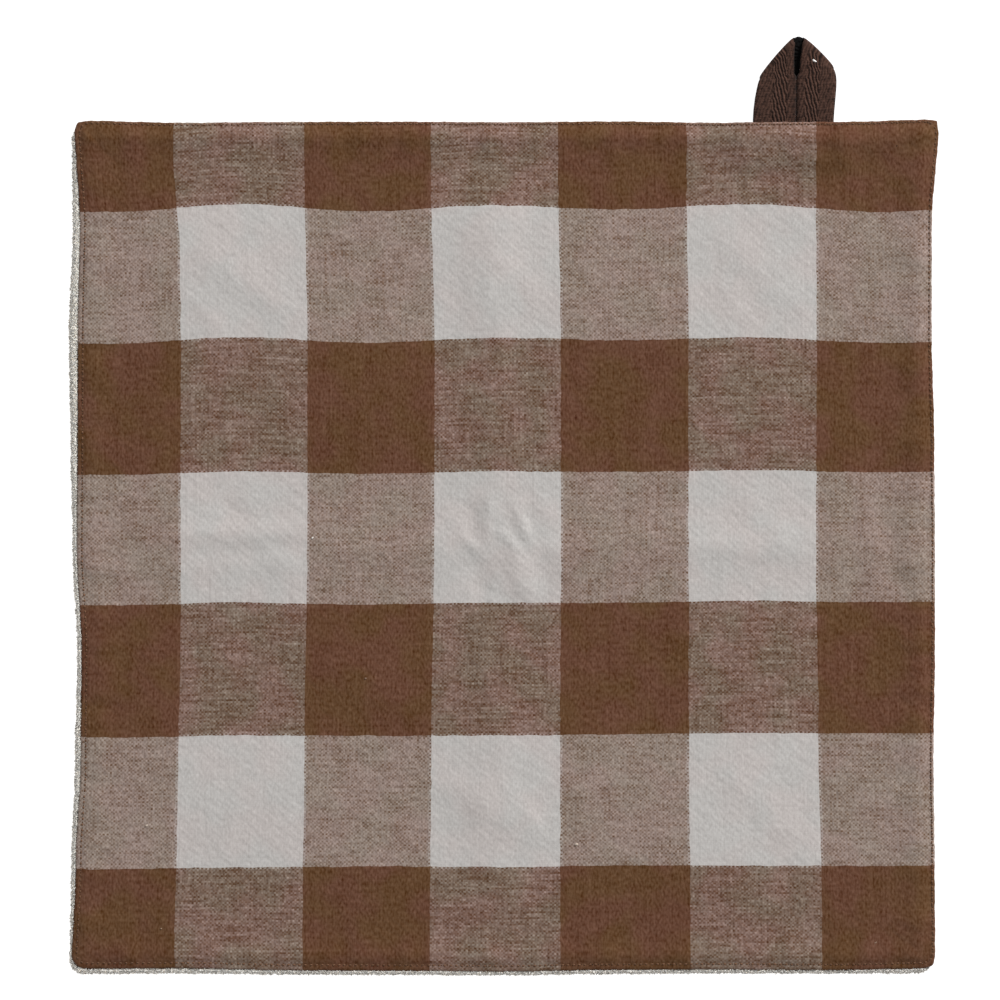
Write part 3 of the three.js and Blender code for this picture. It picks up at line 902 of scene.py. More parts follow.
dome = add(tree, "Math", {0: wave}, operation="ABSOLUTE")
dome = add(tree, "Math", {0: dome, 1: 0.6}, operation="POWER")
slant = add(tree, "Mapping", {"Vector": place, "Rotation": (0.0, 0.0, math.radians(-40)),
                              "Scale": (7.5, 2.3, 1.0)}, vector_type="TEXTURE")
crinkle = add(tree, "TexNoise", {"Vector": slant, "Scale": 1.0, "Detail": 1.5})
relief = add(tree, "Math", {0: dome, 1: DOME}, operation="MULTIPLY")
relief = add(tree, "Math", {0: crinkle, 1: CRINKLE, 2: relief}, operation="MULTIPLY_ADD")
bump = add(tree, "Bump", {"Strength": 1.0, "Distance": 1.0 * MM, "Height": relief})
surface = add(tree, "BsdfPrincipled", {
    "Base Color": colour, "Roughness": 0.92, "Specular IOR Level": 0.2, "Normal": bump,
    "Sheen Weight": 0.06, "Sheen Roughness": 0.5})
add(tree, "OutputMaterial", {"Surface": surface})

checked_front = mesh_object("checked_front", front_points, front_faces, gingham)
store(checked_front, "cloth", place_in_cloth(front_flat))
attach(checked_front, "root")
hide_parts("front_panel")
print("gingham has", len(tree.nodes), "nodes")

# %% [markdown]
# ## The terry back: ground cloth
#
# Terry is a ground cloth with loops of yarn standing out of it. The ground is made first, with
# the same turned edge as the front but facing down. It has crept out past the front along the
# left and lower edges, so its rim shows there as a soft white line.

# %% Terry yarn
terry, tree = new_material("cotton terry, undyed")
place = add(tree, "TexCoord", out=3)
tufts = add(tree, "TexNoise", {"Vector": place, "Scale": 420.0, "Detail": 3.0})
stain = add(tree, "TexNoise", {"Vector": place, "Scale": 45.0, "Detail": 2.0})
shade = add(tree, "Mix", {0: tufts, 6: linear("#f2e5d3"), 7: linear("#fff5e6")}, **COLOURS)
warmth = add(tree, "MapRange", {0: stain, 1: 0.3, 2: 0.7, 3: 0.93, 4: 1.05})
shade = add(tree, "VectorMath", {0: shade, "Scale": warmth}, operation="SCALE")
bump = add(tree, "Bump", {"Strength": 1.0, "Distance": 0.1 * MM, "Height": tufts})
# Loose white yarn lets light through, which fills the gaps between its loops.
surface = add(tree, "BsdfPrincipled", {
    "Base Color": shade, "Roughness": 0.95, "Specular IOR Level": 0.15, "Normal": bump,
    "Sheen Weight": 0.1, "Sheen Roughness": 0.6, "Subsurface Weight": 0.8,
    "Subsurface Radius": (1.0, 0.95, 0.9), "Subsurface Scale": 1.5 * MM})
add(tree, "OutputMaterial", {"Surface": surface})
print("terry has", len(tree.nodes), "nodes")

# %% The terry back: ground cloth
BACK_CELLS = 60        # cells along one side of both grids
BACK_HEM_CELLS = 240   # segments along one side of a hem ring
GROUND_FACE = 0.75     # height of the side that carries the pile, above the solid's underside
GROUND_INNER = 1.06    # and of the side that touches the front
RIM_TOP = 1.45         # and of the allowance where it shows past the front

# Each ring's inset from the edge and its height, from below, round the rim and back in.
BACK_HEM = [
    (13.0, GROUND_FACE), (8.0, GROUND_FACE), (4.0, GROUND_FACE), (2.0, 0.76), (1.0, 0.80),
    (0.55, 0.92), (0.4, 1.10), (0.55, 1.30), (1.0, 1.42),
]
BACK_ALLOWANCE = [
    (1.6, 1.44), (2.2, RIM_TOP), (2.8, RIM_TOP), (3.4, RIM_TOP), (4.0, RIM_TOP), (8.0, RIM_TOP),
    (8.3, 1.34), (8.0, 1.22), (4.0, 1.22), (1.4, 1.18), (1.1, 1.12), (1.5, 1.08),
    (4.0, GROUND_INNER), (12.0, GROUND_INNER),
]
PROUD = 0.8            # mm that the terry stands higher where the front doesn't press on it
COVERED = -0.15        # mm past the front's edge where it begins to be free,
FREE = 0.25            # and where it is quite free
RIM_SPRINGS = (0.3, 1.2)  # the rim itself is held by the seam, and springs up inside it
RIM_WIDTH = 5.0        # mm from the back's edge that can lie past the front
front_edge = ring(front, 0.0, 500)
edge_out = outward(front_edge)


def past_front(points):
    """How far each point lies outside the front's edge; below 0 it lies under the front."""
    apart = points[:, None, :] - front_edge[None]
    nearest = (apart ** 2).sum(axis=2).argmin(axis=1)
    return (apart[np.arange(len(points)), nearest] * edge_out[nearest]).sum(axis=1)


def lift_of_back(points, inset):
    """The back lies flat, and springs up where it is past the front's edge."""
    lift = np.zeros(len(points))
    rim = inset < RIM_WIDTH
    if rim.any():
        lift[rim] = PROUD * ease(past_front(points[rim]), COVERED, FREE)
    return lift * ease(inset, *RIM_SPRINGS)


back_points, _, back_faces = turned_sheet(
    back, BACK_HEM, BACK_ALLOWANCE, (BACK_CELLS, BACK_CELLS), GROUND_INNER,
    BACK_HEM_CELLS, BACK_HEM_CELLS // 4, lift_of_back)
back_points[:, 2] += back["underside"]
back_faces = [tuple(reversed(face)) for face in back_faces]
terry_ground = mesh_object("terry_ground", back_points, back_faces, terry)
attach(terry_ground, "root")
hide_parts("back_panel")

# %% [markdown]
# ## The terry back: pile
#
# Each loop of the pile is a short arch of thick, soft yarn. One arch is a small closed mesh of
# twelve triangles, and it is copied some forty-six thousand times, each copy turned, leaned and
# sized a little differently by a seeded random generator. Hair particles would look as full, but
# they have no mesh of their own.

# %% The terry back: pile
PILE_PITCH = 1.5       # mm between loops
PILE_INSET = 2.2       # mm from the edge to the outermost loops of the field
PILE_JITTER = 0.35     # how far a loop strays from its place, in mm
PILE_HEIGHT = 0.73
PILE_SPAN = 0.75       # between the two ends of a loop
YARN = 0.27            # half the thickness of the pile yarn
LEAN = 0.16            # how far the loops lean, as a share of their height
ROOT_DEPTH = 0.12      # the ends of a loop reach this far into the ground
ROOT_SPAN = 0.84       # and stand closer together than its arms
ARM_SLOPE = 0.5        # of the cut through each arm
LOWEST = 0.02          # no pile goes lower, so that the table never cuts it
ASIDE = np.array([0.31, 0.77, 0.55])  # any direction that is never quite along a loop
random = np.random.default_rng(7)


def pile_loops(roots, normals, height, span, yarn, generator):
    """Points and triangles of one yarn arch at each root, standing out along its normal."""
    count = len(roots)
    spin = generator.uniform(0, math.tau, count)
    first = np.cross(normals, ASIDE)
    first /= np.linalg.norm(first, axis=1)[:, None]
    second = np.cross(normals, first)
    side = first * np.cos(spin)[:, None] + second * np.sin(spin)[:, None]
    width = np.cross(normals, side)
    lean = side * generator.normal(0, LEAN, count)[:, None]
    lean += width * generator.normal(0, LEAN, count)[:, None]
    tall = (height * generator.uniform(0.72, 1.0, count))[:, None]
    wide = (span * generator.uniform(0.8, 1.2, count))[:, None]
    thick = (yarn * generator.uniform(0.85, 1.15, count))[:, None]
    arms = []
    for end in (-1.0, 1.0):
        middle = roots + side * (wide * 0.5 * end) + normals * (tall - thick) + lean * tall
        across = (side * end * ARM_SLOPE + normals) / math.hypot(ARM_SLOPE, 1.0)
        for turn in (0.0, math.tau / 3, 2 * math.tau / 3):
            arms.append(middle + (across * math.cos(turn) + width * math.sin(turn)) * thick)
    foot = side * (wide * ROOT_SPAN / 2)
    start = roots - foot - normals * ROOT_DEPTH
    finish = roots + foot - normals * ROOT_DEPTH
    return copies([start, *arms, finish], [
        (0, 2, 1), (0, 3, 2), (0, 1, 3), (1, 2, 5), (1, 5, 4), (2, 3, 6), (2, 6, 5),
        (3, 1, 4), (3, 4, 6), (7, 4, 5), (7, 5, 6), (7, 6, 4)])


def pile_piece(name, roots, normals, height, span, yarn):
    """One object of many pile loops, dressed as terry."""
    points, faces = pile_loops(roots, normals, height, span, yarn, random)
    points[:, 2] = np.maximum(points[:, 2], LOWEST)
    piece = mesh_object(name, points, faces, terry)
    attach(piece, "root")
    return piece


print("a loop stands", PILE_HEIGHT, "mm high and is", PILE_SPAN, "mm wide")

# %% The field of loops
reach = back["half"] - PILE_INSET
columns = np.arange(-reach[0], reach[0], PILE_PITCH)
rows = np.arange(-reach[1], reach[1], PILE_PITCH)
x, y = np.meshgrid(columns, rows)
roots = np.stack([x.ravel(), y.ravel()], axis=1)
roots += random.uniform(-PILE_JITTER, PILE_JITTER, roots.shape)
roots = bowed(back, roots)
roots = np.column_stack([roots, np.full(len(roots), back["underside"] + GROUND_FACE)])
down = np.tile([0.0, 0.0, -1.0], (len(roots), 1))
# The field is split into three pieces from left to right, so that none has too many triangles.
for k, part in enumerate(np.array_split(np.argsort(roots[:, 0], kind="stable"), 3)):
    pile_piece(f"terry_pile_{k + 1}", roots[part], down[part], PILE_HEIGHT,
                           PILE_SPAN, YARN)

# %% [markdown]
# ### Pile on the rim
#
# Rows of loops also stand out of the turned rim, and on the strip that has crept out past the
# front. They make the edge fuzzy from above and from the side, as the real one is.

# %% Pile on the rim
RIM_LOOPS = 280        # along one side, in each row
RIM_JITTER = 0.25      # mm
RIM_SPAN = 0.95
RIM_YARN = 0.62        # the yarn fluffs out where it is free
ROUND_ROWS = 1.3       # rows up to this inset go all the way round, the others only where free
RIM_ROWS = [
    # inset, height, sideways share, upward share, length, for each row of loops round the rim
    (1.2, 0.80, 0.25, -1.0, 0.72),
    (0.70, 0.88, 0.80, -0.7, 0.48),
    (0.55, 1.00, 1.0, -0.25, 0.38),
    (0.55, 1.15, 1.0, 0.20, 0.38),
    (0.70, 1.30, 1.0, 0.70, 0.36),
    (1.00, 1.40, 0.5, 1.0, 0.30),
    (1.45, 1.43, 0.2, 1.0, 0.23),
]
# The part of the face that lies past the front has five more rows, half a millimetre apart.
RIM_ROWS += [(1.95 + 0.5 * row, RIM_TOP, 0.1, 1.0, 0.23) for row in range(5)]
rim_roots, rim_normals, rim_heights = [], [], []
for inset, height, sideways, upward, length in RIM_ROWS:
    line = ring(back, inset, RIM_LOOPS)
    out = outward(line)
    line = line + random.uniform(-RIM_JITTER, RIM_JITTER, line.shape)
    free = past_front(line)
    kept = np.full(len(line), True) if inset < ROUND_ROWS else free > COVERED
    aim = np.column_stack([out * sideways, np.full(len(line), upward)])
    aim /= np.linalg.norm(aim, axis=1)[:, None]
    proud = np.zeros(len(line))
    if upward > 0.5:  # these stand on the face, which springs up there
        proud = PROUD * ease(free, COVERED, FREE) * ease(inset, *RIM_SPRINGS)
    rim_roots.append(np.column_stack([line, back["underside"] + height + proud])[kept])
    rim_normals.append(aim[kept])
    rim_heights.append(np.full(kept.sum(), length))
rim_heights = np.concatenate(rim_heights)
pile_piece("terry_pile_rim", np.concatenate(rim_roots), np.concatenate(rim_normals),
                       rim_heights, RIM_SPAN, RIM_YARN)
print(len(rim_heights), "loops stand round the rim")

# %% [markdown]
# ## Topstitching
#
# One line of lockstitch runs about two millimetres inside the edge, thirteen stitches to 25 mm.
# Each stitch is a short piece of thread that dives into the cloth at both ends. It is modelled
# once as a small spindle and copied along the line, above and below, by the real pitch. A curve
# with a bevel could run along the line too, but it would lie on the cloth like wire.

# %% Sewing thread
thread, tree = new_material("polyester sewing thread, mid brown")
place = add(tree, "TexCoord", out=3)
ply = add(tree, "TexNoise", {"Vector": place, "Scale": 1800.0, "Detail": 2.0})
fade = add(tree, "TexNoise", {"Vector": place, "Scale": 60.0, "Detail": 2.0})
mix = add(tree, "Math", {0: ply, 1: fade}, operation="MULTIPLY")
shade = add(tree, "Mix", {0: add(tree, "MapRange", {0: mix, 1: 0.1, 2: 0.4, 3: 0.0, 4: 1.0}),
                          6: linear("#533b2b"), 7: linear("#71523d")}, **COLOURS)
bump = add(tree, "Bump", {"Strength": 1.0, "Distance": 0.05 * MM, "Height": ply})
surface = add(tree, "BsdfPrincipled", {"Base Color": shade, "Roughness": 0.6, "Normal": bump,
                                       "Specular IOR Level": 0.15})
add(tree, "OutputMaterial", {"Surface": surface})

# Painted shadow: the thread deep in a needle hole is coloured far darker than the thread itself,
# for the shade in the hole.
shadowed_hole_thread, tree = new_material("sewing thread in painted needle-hole shadow")
place = add(tree, "TexCoord", out=3)
gloom = add(tree, "TexNoise", {"Vector": place, "Scale": 900.0, "Detail": 1.0})
shade = add(tree, "Mix", {0: gloom, 6: linear("#3a2a20"), 7: linear("#5c4636")}, **COLOURS)
surface = add(tree, "BsdfPrincipled", {"Base Color": shade, "Roughness": 0.95,
                                       "Specular IOR Level": 0.1})
add(tree, "OutputMaterial", {"Surface": surface})
print("thread in", thread.name, "and in", shadowed_hole_thread.name)

# %% Stitches
STITCH = [
    # along the stitch from its middle, half its thickness there, how far it rises, in mm
    (-0.70, 0.0, -0.30), (-0.40, 0.24, -0.02), (0.0, 0.33, 0.10), (0.40, 0.24, -0.02),
    (0.70, 0.0, -0.30),
]
SIDES = 6              # corners of a stitch's section, and of a needle hole
STITCH_STRAYS = 0.08   # mm along the line
STITCH_TURNS = 0.05    # and how far one points beside it
AHEAD = 0.3            # mm ahead of a stitch's middle, where its direction is measured


def stitch_line(panel, height_at):
    """Middles and directions of the stitches on one side of the cloth."""
    line = ring(panel, STITCH_INSET, 2000)
    closed = np.vstack([line, line[:1]])
    run = np.concatenate([[0], np.cumsum(np.linalg.norm(np.diff(closed, axis=0), axis=1))])
    count = round(run[-1] / STITCH_PITCH)
    at = (np.arange(count) + 0.5) * run[-1] / count
    at = at + random.normal(0, STITCH_STRAYS, count)
    middle = np.column_stack([np.interp(at, run, closed[:, k]) for k in (0, 1)])
    ahead = np.column_stack([np.interp(at + AHEAD, run, closed[:, k]) for k in (0, 1)])
    way = (ahead - middle) / np.linalg.norm(ahead - middle, axis=1)[:, None]
    return np.column_stack([middle, height_at(middle)]), way


def axes_of(ways):
    """Unit vectors along and across each stitch."""
    flat = np.zeros(len(ways))
    return np.column_stack([ways, flat]), np.column_stack([-ways[:, 1], ways[:, 0], flat])


def stitches(name, middles, ways, facing):
    """One spindle of thread per stitch."""
    along, across = axes_of(ways)
    along[:, :2] += random.normal(0, STITCH_TURNS, (len(middles), 2))
    up = np.array([0.0, 0.0, facing])
    corners = []
    for place_along, radius, rise in STITCH:
        core = middles + along * place_along + up * rise
        for k in range(1 if radius == 0 else SIDES):
            turn = math.tau * k / SIDES
            corners.append(core + radius * (across * math.cos(turn) + up * math.sin(turn)))
    pattern = []
    for k in range(SIDES):
        n = (k + 1) % SIDES
        pattern.append((0, 1 + n, 1 + k))
        for row in (0, 1):
            a, b = 1 + row * SIDES + k, 1 + row * SIDES + n
            pattern += [(a, b, b + SIDES), (a, b + SIDES, a + SIDES)]
        pattern.append((1 + 3 * SIDES, 1 + 2 * SIDES + k, 1 + 2 * SIDES + n))
    if facing < 0:
        pattern = [tuple(reversed(face)) for face in pattern]
    piece = mesh_object(name, *copies(corners, pattern), thread)
    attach(piece, "root")
    return piece


print("a stitch has", 2 + 3 * SIDES, "points")

# %% Needle holes, and both lines of stitches
THREAD_SUNK = 0.04     # mm that the thread sinks into the groove
BOBBIN_LEVEL = 0.35    # height of the bobbin thread above the solid's underside
# Half sizes of a needle hole, how far it reaches up and down, and how far the whole is sunk.
HOLE = {"along": 0.48, "across": 0.52, "above": 0.10, "below": 0.15, "sunk": 0.02}


def needle_hole_shadows(name, middles, ways):
    """A small dark dimple at each end of a stitch, where the needle went through; its dark colour
    is painted shadow, for the shade deep in the hole.
    """
    place = (middles + np.roll(middles, -1, axis=0)) / 2
    along, across = axes_of(ways)
    up = np.array([0.0, 0.0, 1.0])
    corners = [place + up * HOLE["above"]]
    for k in range(SIDES):
        turn = math.tau * k / SIDES
        corners.append(place + along * HOLE["along"] * math.cos(turn)
                       + across * HOLE["across"] * math.sin(turn))
    corners.append(place - up * HOLE["below"])
    pattern = []
    for k in range(SIDES):
        n = (k + 1) % SIDES
        pattern += [(0, 1 + k, 1 + n), (SIDES + 1, 1 + n, 1 + k)]
    piece = mesh_object(name, *copies(corners, pattern), shadowed_hole_thread)
    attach(piece, "root")
    return piece


def top_of_groove(middle):
    """Height of the front's face along the stitch line."""
    inset = np.full(len(middle), STITCH_INSET)
    level = front["underside"] + GROOVE - THREAD_SUNK
    return level + lift_of_front(middle, inset) + hem_waves(middle, inset)


def bottom_of_pile(middle):
    """Height of the bobbin thread, sunk in the pile."""
    return np.full(len(middle), back["underside"] + BOBBIN_LEVEL)


middles, ways = stitch_line(front, top_of_groove)
topstitch = stitches("topstitch", middles, ways, 1.0)
# Dark dimples between the stitches paint the shadow in each needle hole.
holes = needle_hole_shadows("needle_hole_shadows", middles - [0.0, 0.0, HOLE["sunk"]], ways)
bobbin_stitch = stitches("bobbin_stitch", *stitch_line(back, bottom_of_pile), -1.0)

# %% [markdown]
# ## The hanging loop
#
# A length of herringbone tape, folded at forty-five degrees on each side of the tip, so that
# its ends lie side by side and its middle crosses behind them. A row of rulings, lines from the
# tape's outer edge to its inner one, carries it: down the left leg, half round the left fold,
# across face down, round the right fold and down the right leg. They lie close to the solid's,
# with finer steps between them. Each ruling also says how far along the tape it is, so that
# the weave keeps its direction through the folds.

# %% The hanging loop: its legs and folds
SEAM_LEVEL = 2.3       # mm up, where the tape's ends lie in the seam
# Outer edge x, y, z, inner edge x, y, z, from the middle of the loop's foot.
LEFT_LEG = [
    (-14.4, -9.0, SEAM_LEVEL, 0.5, -9.0, SEAM_LEVEL),
    (-14.4, 0.5, SEAM_LEVEL, 0.6, 0.5, SEAM_LEVEL),
    (-14.2, 4.0, 2.25, 0.7, 4.5, 2.25),
    (-13.7, 8.0, 2.2, 0.75, 8.5, 2.2),
    (-13.0, 11.6, 2.0, 0.75, 13.0, 2.1),
    (-12.5, 13.6, 1.8, 0.75, 15.8, 2.2),
    (-12.15, 14.4, 1.5, 0.05, 16.7, 2.2),
    (-12.0, 14.8, 1.3, 0.0, 22.5, 2.3),
]
LEFT_FOLD = ((-11.85, 15.1), (0.35, 27.4))
RIGHT_FOLD = ((13.85, 18.5), (2.95, 27.4))
FOLD_BULGE = 0.45      # each fold's line curves out this far at its middle
RIGHT_LEG = [
    (14.05, 18.15, 1.3, 2.35, 23.5, 2.3),
    (14.35, 17.4, 1.5, 2.0, 20.5, 2.2),
    (14.65, 16.2, 1.8, 1.85, 17.0, 2.2),
    (14.8, 14.4, 2.0, 0.7, 15.7, 2.1),
    (14.75, 12.0, 2.1, 0.68, 12.5, 2.1),
    (14.4, 7.8, 2.2, 0.68, 8.5, 2.2),
    (14.05, 4.0, 2.25, 0.62, 4.5, 2.25),
    (13.8, 0.5, SEAM_LEVEL, 0.5, 0.5, SEAM_LEVEL),
    (13.7, -9.0, SEAM_LEVEL, 0.4, -9.0, SEAM_LEVEL),
]
FOLD_RADIUS = (0.25, 0.8)  # at the fold's outer and inner end
TAPE_WIDTH = 13.7
TAPE_THICKNESS = 0.8
TIP_LIFT = 1.9         # the inner selvedge springs out as it leaves each fold,
TIP_RISE = 0.5         # and bows out this much further between the folds
CROSSING_SAG = 2.0     # while the outer one sags in
SWELL_POWER = 0.7      # below 1, the bow and the sag are rounder than a sine
UP = np.array([0.0, 0.0, 1.0])
# How far along the tape each fold and the foot of each leg lie, at the outer and inner edge.
LEFT_FOOT_AT = (9.0, 9.0)
LEFT_FOLD_AT = (24.0, 36.7)
RIGHT_FOLD_AT = (48.8, 39.5)
RIGHT_FOOT_AT = (67.2, 66.0)
print(len(LEFT_LEG), "rulings carry the left leg,", len(RIGHT_LEG), "the right")

# %% From ruling to ruling


def leg_rulings(leg, foot_at, going):
    """Rulings of a leg: outer point, inner point, face, both places along the tape, how far
    behind, and the bulge at the ruling's middle."""
    rows = []
    for ox, oy, oz, ix, iy, iz in leg:
        rows.append((np.array([ox, oy, oz]), np.array([ix, iy, iz]), UP,
                     foot_at[0] + going * oy, foot_at[1] + going * iy, 0.0, 0.0 * UP))
    return rows


def fold_rulings(fold, side, fold_at, steps=12):
    """Rulings of a half turn about a slanting line, from face up to face down."""
    outer, inner = np.array(fold[0]), np.array(fold[1])
    line = (inner - outer) / np.linalg.norm(inner - outer)
    away = np.array([-line[1], line[0]]) * side
    rows = []
    for k in range(steps + 1):
        turn = math.pi * k / steps
        ends = []
        for end, radius in ((outer, FOLD_RADIUS[0]), (inner, FOLD_RADIUS[1])):
            flat = end + away * radius * math.sin(turn)
            if end is inner:
                flat = flat + np.array([0.0, TIP_LIFT * (1 - math.cos(turn)) / 2])
            ends.append(np.array([*flat, TAPE_THICKNESS / 2 + radius * (1 + math.cos(turn))]))
        face = np.array([*(away * math.sin(turn)), math.cos(turn)])
        bulge = np.array([*(away * FOLD_BULGE * math.sin(turn)), 0.0])
        rows.append((*ends, face, *fold_at, k / steps, bulge))
    return rows


def crossing_rulings(steps=24):
    """Rulings of the middle of the tape, face down between the folds."""
    rows = []
    for k in range(1, steps):
        part = k / steps
        ends = []
        for end, start, rise in ((0, 0.0, -CROSSING_SAG), (1, TIP_LIFT, TIP_RISE)):
            left, right = np.array(LEFT_FOLD[end]), np.array(RIGHT_FOLD[end])
            swell = start + rise * math.sin(math.pi * part) ** SWELL_POWER
            flat = left + (right - left) * part + np.array([0, swell])
            ends.append(np.array([*flat, TAPE_THICKNESS / 2]))
        along = [a + (b - a) * part for a, b in zip(LEFT_FOLD_AT, RIGHT_FOLD_AT)]
        rows.append((*ends, -UP, *along, 1.0, 0.0 * UP))
    return rows


rulings = leg_rulings(LEFT_LEG, LEFT_FOOT_AT, 1.0)
rulings += fold_rulings(LEFT_FOLD, 1.0, LEFT_FOLD_AT)
rulings += crossing_rulings()
rulings += fold_rulings(RIGHT_FOLD, -1.0, RIGHT_FOLD_AT)[::-1]
rulings += leg_rulings(RIGHT_LEG, RIGHT_FOOT_AT, -1.0)
print(len(rulings), "rulings; the tape's outer edge is", round(rulings[-1][3], 1), "mm long")

# %% [markdown]
# ### The tape as a mesh
#
# Between two rulings the tape runs straight, in fine steps. Its cut is a flat oval: two rows of
# points across it, closer together at the selvedges. The tape's own two directions go into an
# attribute, and a second one marks how deep in the fold a point is, because hardly any light
# gets there.

# %% The tape as a mesh
ACROSS = 16            # steps across the tape
STEP = 0.6             # most mm between two fine rulings
BETWEEN = 14           # but never more steps than this between two given ones
SELVEDGE = 0.15        # share by which the points crowd towards the selvedges


def tape_rows():
    """Fine rulings, with even steps between the given ones where these are far apart."""
    fine = []
    for first, second in zip(rulings[:-1], rulings[1:]):
        length = max(np.linalg.norm(first[0] - second[0]), np.linalg.norm(first[1] - second[1]))
        steps = int(np.clip(math.ceil(length / STEP), 1, BETWEEN))
        for k in range(steps):
            part = k / steps
            fine.append([a + (b - a) * part for a, b in zip(first, second)])
    return fine + [list(rulings[-1])]


across = np.cos(np.linspace(math.pi, 0, ACROSS + 1)) * SELVEDGE
across += np.linspace(-1, 1, ACROSS + 1) * (1 - SELVEDGE)
half_thickness = 0.5 * TAPE_THICKNESS * (1 - np.abs(across) ** 6) ** 0.5
foot = np.array([LOOP_X, LOOP_Y, 0.0])
tape_points, tape_places, tape_depths = [], [], []
fine = tape_rows()
for outer, inner, face, outer_along, inner_along, behind, bulge in fine:
    face = face / np.linalg.norm(face)
    share = (across + 1) / 2
    middle = outer[None] + (inner - outer)[None] * share[:, None] + foot
    middle += bulge[None] * (4 * share * (1 - share))[:, None]
    along = outer_along + (inner_along - outer_along) * share
    top = middle + face[None] * half_thickness[:, None]
    bottom = (middle - face[None] * half_thickness[:, None])[-2:0:-1]
    tape_points.append(np.vstack([top, bottom]))
    place = np.column_stack([across * TAPE_WIDTH / 2, along, np.zeros(len(along))])
    tape_places.append(np.vstack([place, place[-2:0:-1]]))
    tape_depths.append(np.full(len(top) + len(bottom), behind))
size = len(tape_points[0])
faces = []
last_row = (len(fine) - 1) * size
for start in range(0, last_row, size):
    for k in range(size):
        a, b = start + k, start + (k + 1) % size
        faces.append((a, a + size, b + size, b))
faces.append(tuple(range(size)))
faces.append(tuple(reversed(range(last_row, last_row + size))))
tape_points = np.concatenate(tape_points)
print("the tape has", len(fine), "rows of", size, "points")

# %% [markdown]
# ### Herringbone
#
# In herringbone tape the twill changes direction from band to band across the width, so its
# fine ridges make long zigzags. Here a middle band leans one way between two that lean the
# The ridges are steep, a millimetre apart; their tops are painted lighter and the grooves between
# them painted nearly black, as painted highlight and shade.

# %% Herringbone
RIDGE_PITCH = 1.15     # mm across the tape from one ridge to the next
RIDGE_RISE = 0.27      # how far a ridge moves across the tape for each mm along it
PICK_PITCH = 0.9       # mm from one weft thread to the next
BAND = 5.0             # width of a band, in mm
BAND_TURNS_AT = -1.05  # mm from the tape's middle, where the ridges turn back
MIDDLE_BAND = 1.45     # middle of the band whose ridges stand out
STANDS_OUT = (1.5, 0.55)  # strength of the ridges in that band, and in the outer bands
WOBBLE = 1.6           # mm that the ridges stray, at the noise's full reach
PICK_HEIGHT = 0.15     # beside the ridges' own height of 1,
FIBRE_HEIGHT = 4.5     # and the uneven yarn's, which is strong, because the tape is worn

herringbone, tree = new_material("cotton herringbone tape, dark brown")
place = add(tree, "Attribute", attribute_name="tape", out=1)
split = add(tree, "SeparateXYZ", {0: place})
side, along = split.node.outputs[0], split.node.outputs[1]
wobble = add(tree, "TexNoise", {"Vector": place, "Scale": 0.35, "Detail": 2.0})
from_band = add(tree, "Math", {0: side, 1: BAND_TURNS_AT}, operation="SUBTRACT")
zigzag = add(tree, "Math", {0: from_band, 1: BAND}, operation="PINGPONG")
ridge_at = add(tree, "Math", {0: along, 1: RIDGE_RISE, 2: zigzag}, operation="MULTIPLY_ADD")
ridge_at = add(tree, "Math", {0: wobble, 1: WOBBLE, 2: ridge_at}, operation="MULTIPLY_ADD")
ridge = add(tree, "Math", {0: ridge_at, 1: math.tau / RIDGE_PITCH}, operation="MULTIPLY")
ridge = add(tree, "Math", {0: ridge}, operation="SINE")
# Painted light: the middle band's ridges stand out and those of the outer bands are nearly flat,
# for the light that picks out ridges slanting one way and not the other.
to_middle = add(tree, "Math", {0: side, 1: MIDDLE_BAND}, operation="SUBTRACT")
to_middle = add(tree, "Math", {0: to_middle}, operation="ABSOLUTE")
strength = add(tree, "MapRange", {0: to_middle, 1: 2.0, 2: 3.2, 3: STANDS_OUT[0],
                                  4: STANDS_OUT[1]})
ridge = add(tree, "Math", {0: ridge, 1: strength}, operation="MULTIPLY")
pick = add(tree, "Math", {0: along, 1: math.tau / PICK_PITCH}, operation="MULTIPLY")
pick = add(tree, "Math", {0: pick}, operation="SINE")
fibre = add(tree, "TexNoise", {"Vector": place, "Scale": 0.8, "Detail": 3.0})
height = add(tree, "Math", {0: pick, 1: PICK_HEIGHT, 2: ridge}, operation="MULTIPLY_ADD")
height = add(tree, "Math", {0: fibre, 1: FIBRE_HEIGHT, 2: height}, operation="MULTIPLY_ADD")
# Painted highlight and shade: the higher a point, the lighter its colour, so the ridge tops look
# lit and the grooves nearly black; the uneven yarn's tone goes in too.
ridge_light_and_yarn_tone = add(tree, "MapRange", {0: height, 1: 0.6, 2: 4.2, 3: 0.0, 4: 1.0})
shade = add(tree, "Mix", {0: ridge_light_and_yarn_tone, 6: linear("#1b110e"), 7: linear("#563d33")}, **COLOURS)
# Painted shade: deep in the fold and where the legs' selvedges meet, a stored attribute turns the
# colour near black.
painted_shade = add(tree, "Attribute", attribute_name="painted_shade", out=2)
shade = add(tree, "Mix", {0: painted_shade, 6: shade, 7: linear("#050404")}, **COLOURS)
bump = add(tree, "Bump", {"Strength": 1.0, "Distance": 0.12 * MM, "Height": height})
surface = add(tree, "BsdfPrincipled", {
    "Base Color": shade, "Roughness": 0.9, "Specular IOR Level": 0.12, "Normal": bump,
    "Sheen Weight": 0.02, "Sheen Roughness": 0.5})
add(tree, "OutputMaterial", {"Surface": surface})
print("herringbone has", len(tree.nodes), "nodes")

# %% The loop is made
tape_loop = mesh_object("tape_loop", tape_points, faces, herringbone)
store(tape_loop, "tape", np.concatenate(tape_places))
# Painted shade: only the middle of the crossing, seen through the slit below the tip, is painted
# near black, for the deep shade there.
offset = tape_points - foot
slit = np.concatenate(tape_depths) * ease(offset[:, 0], -1.5, 0.2)
slit = slit * (1 - ease(offset[:, 0], 3.2, 4.5)) * (1 - ease(offset[:, 2], 1.0, 1.6))
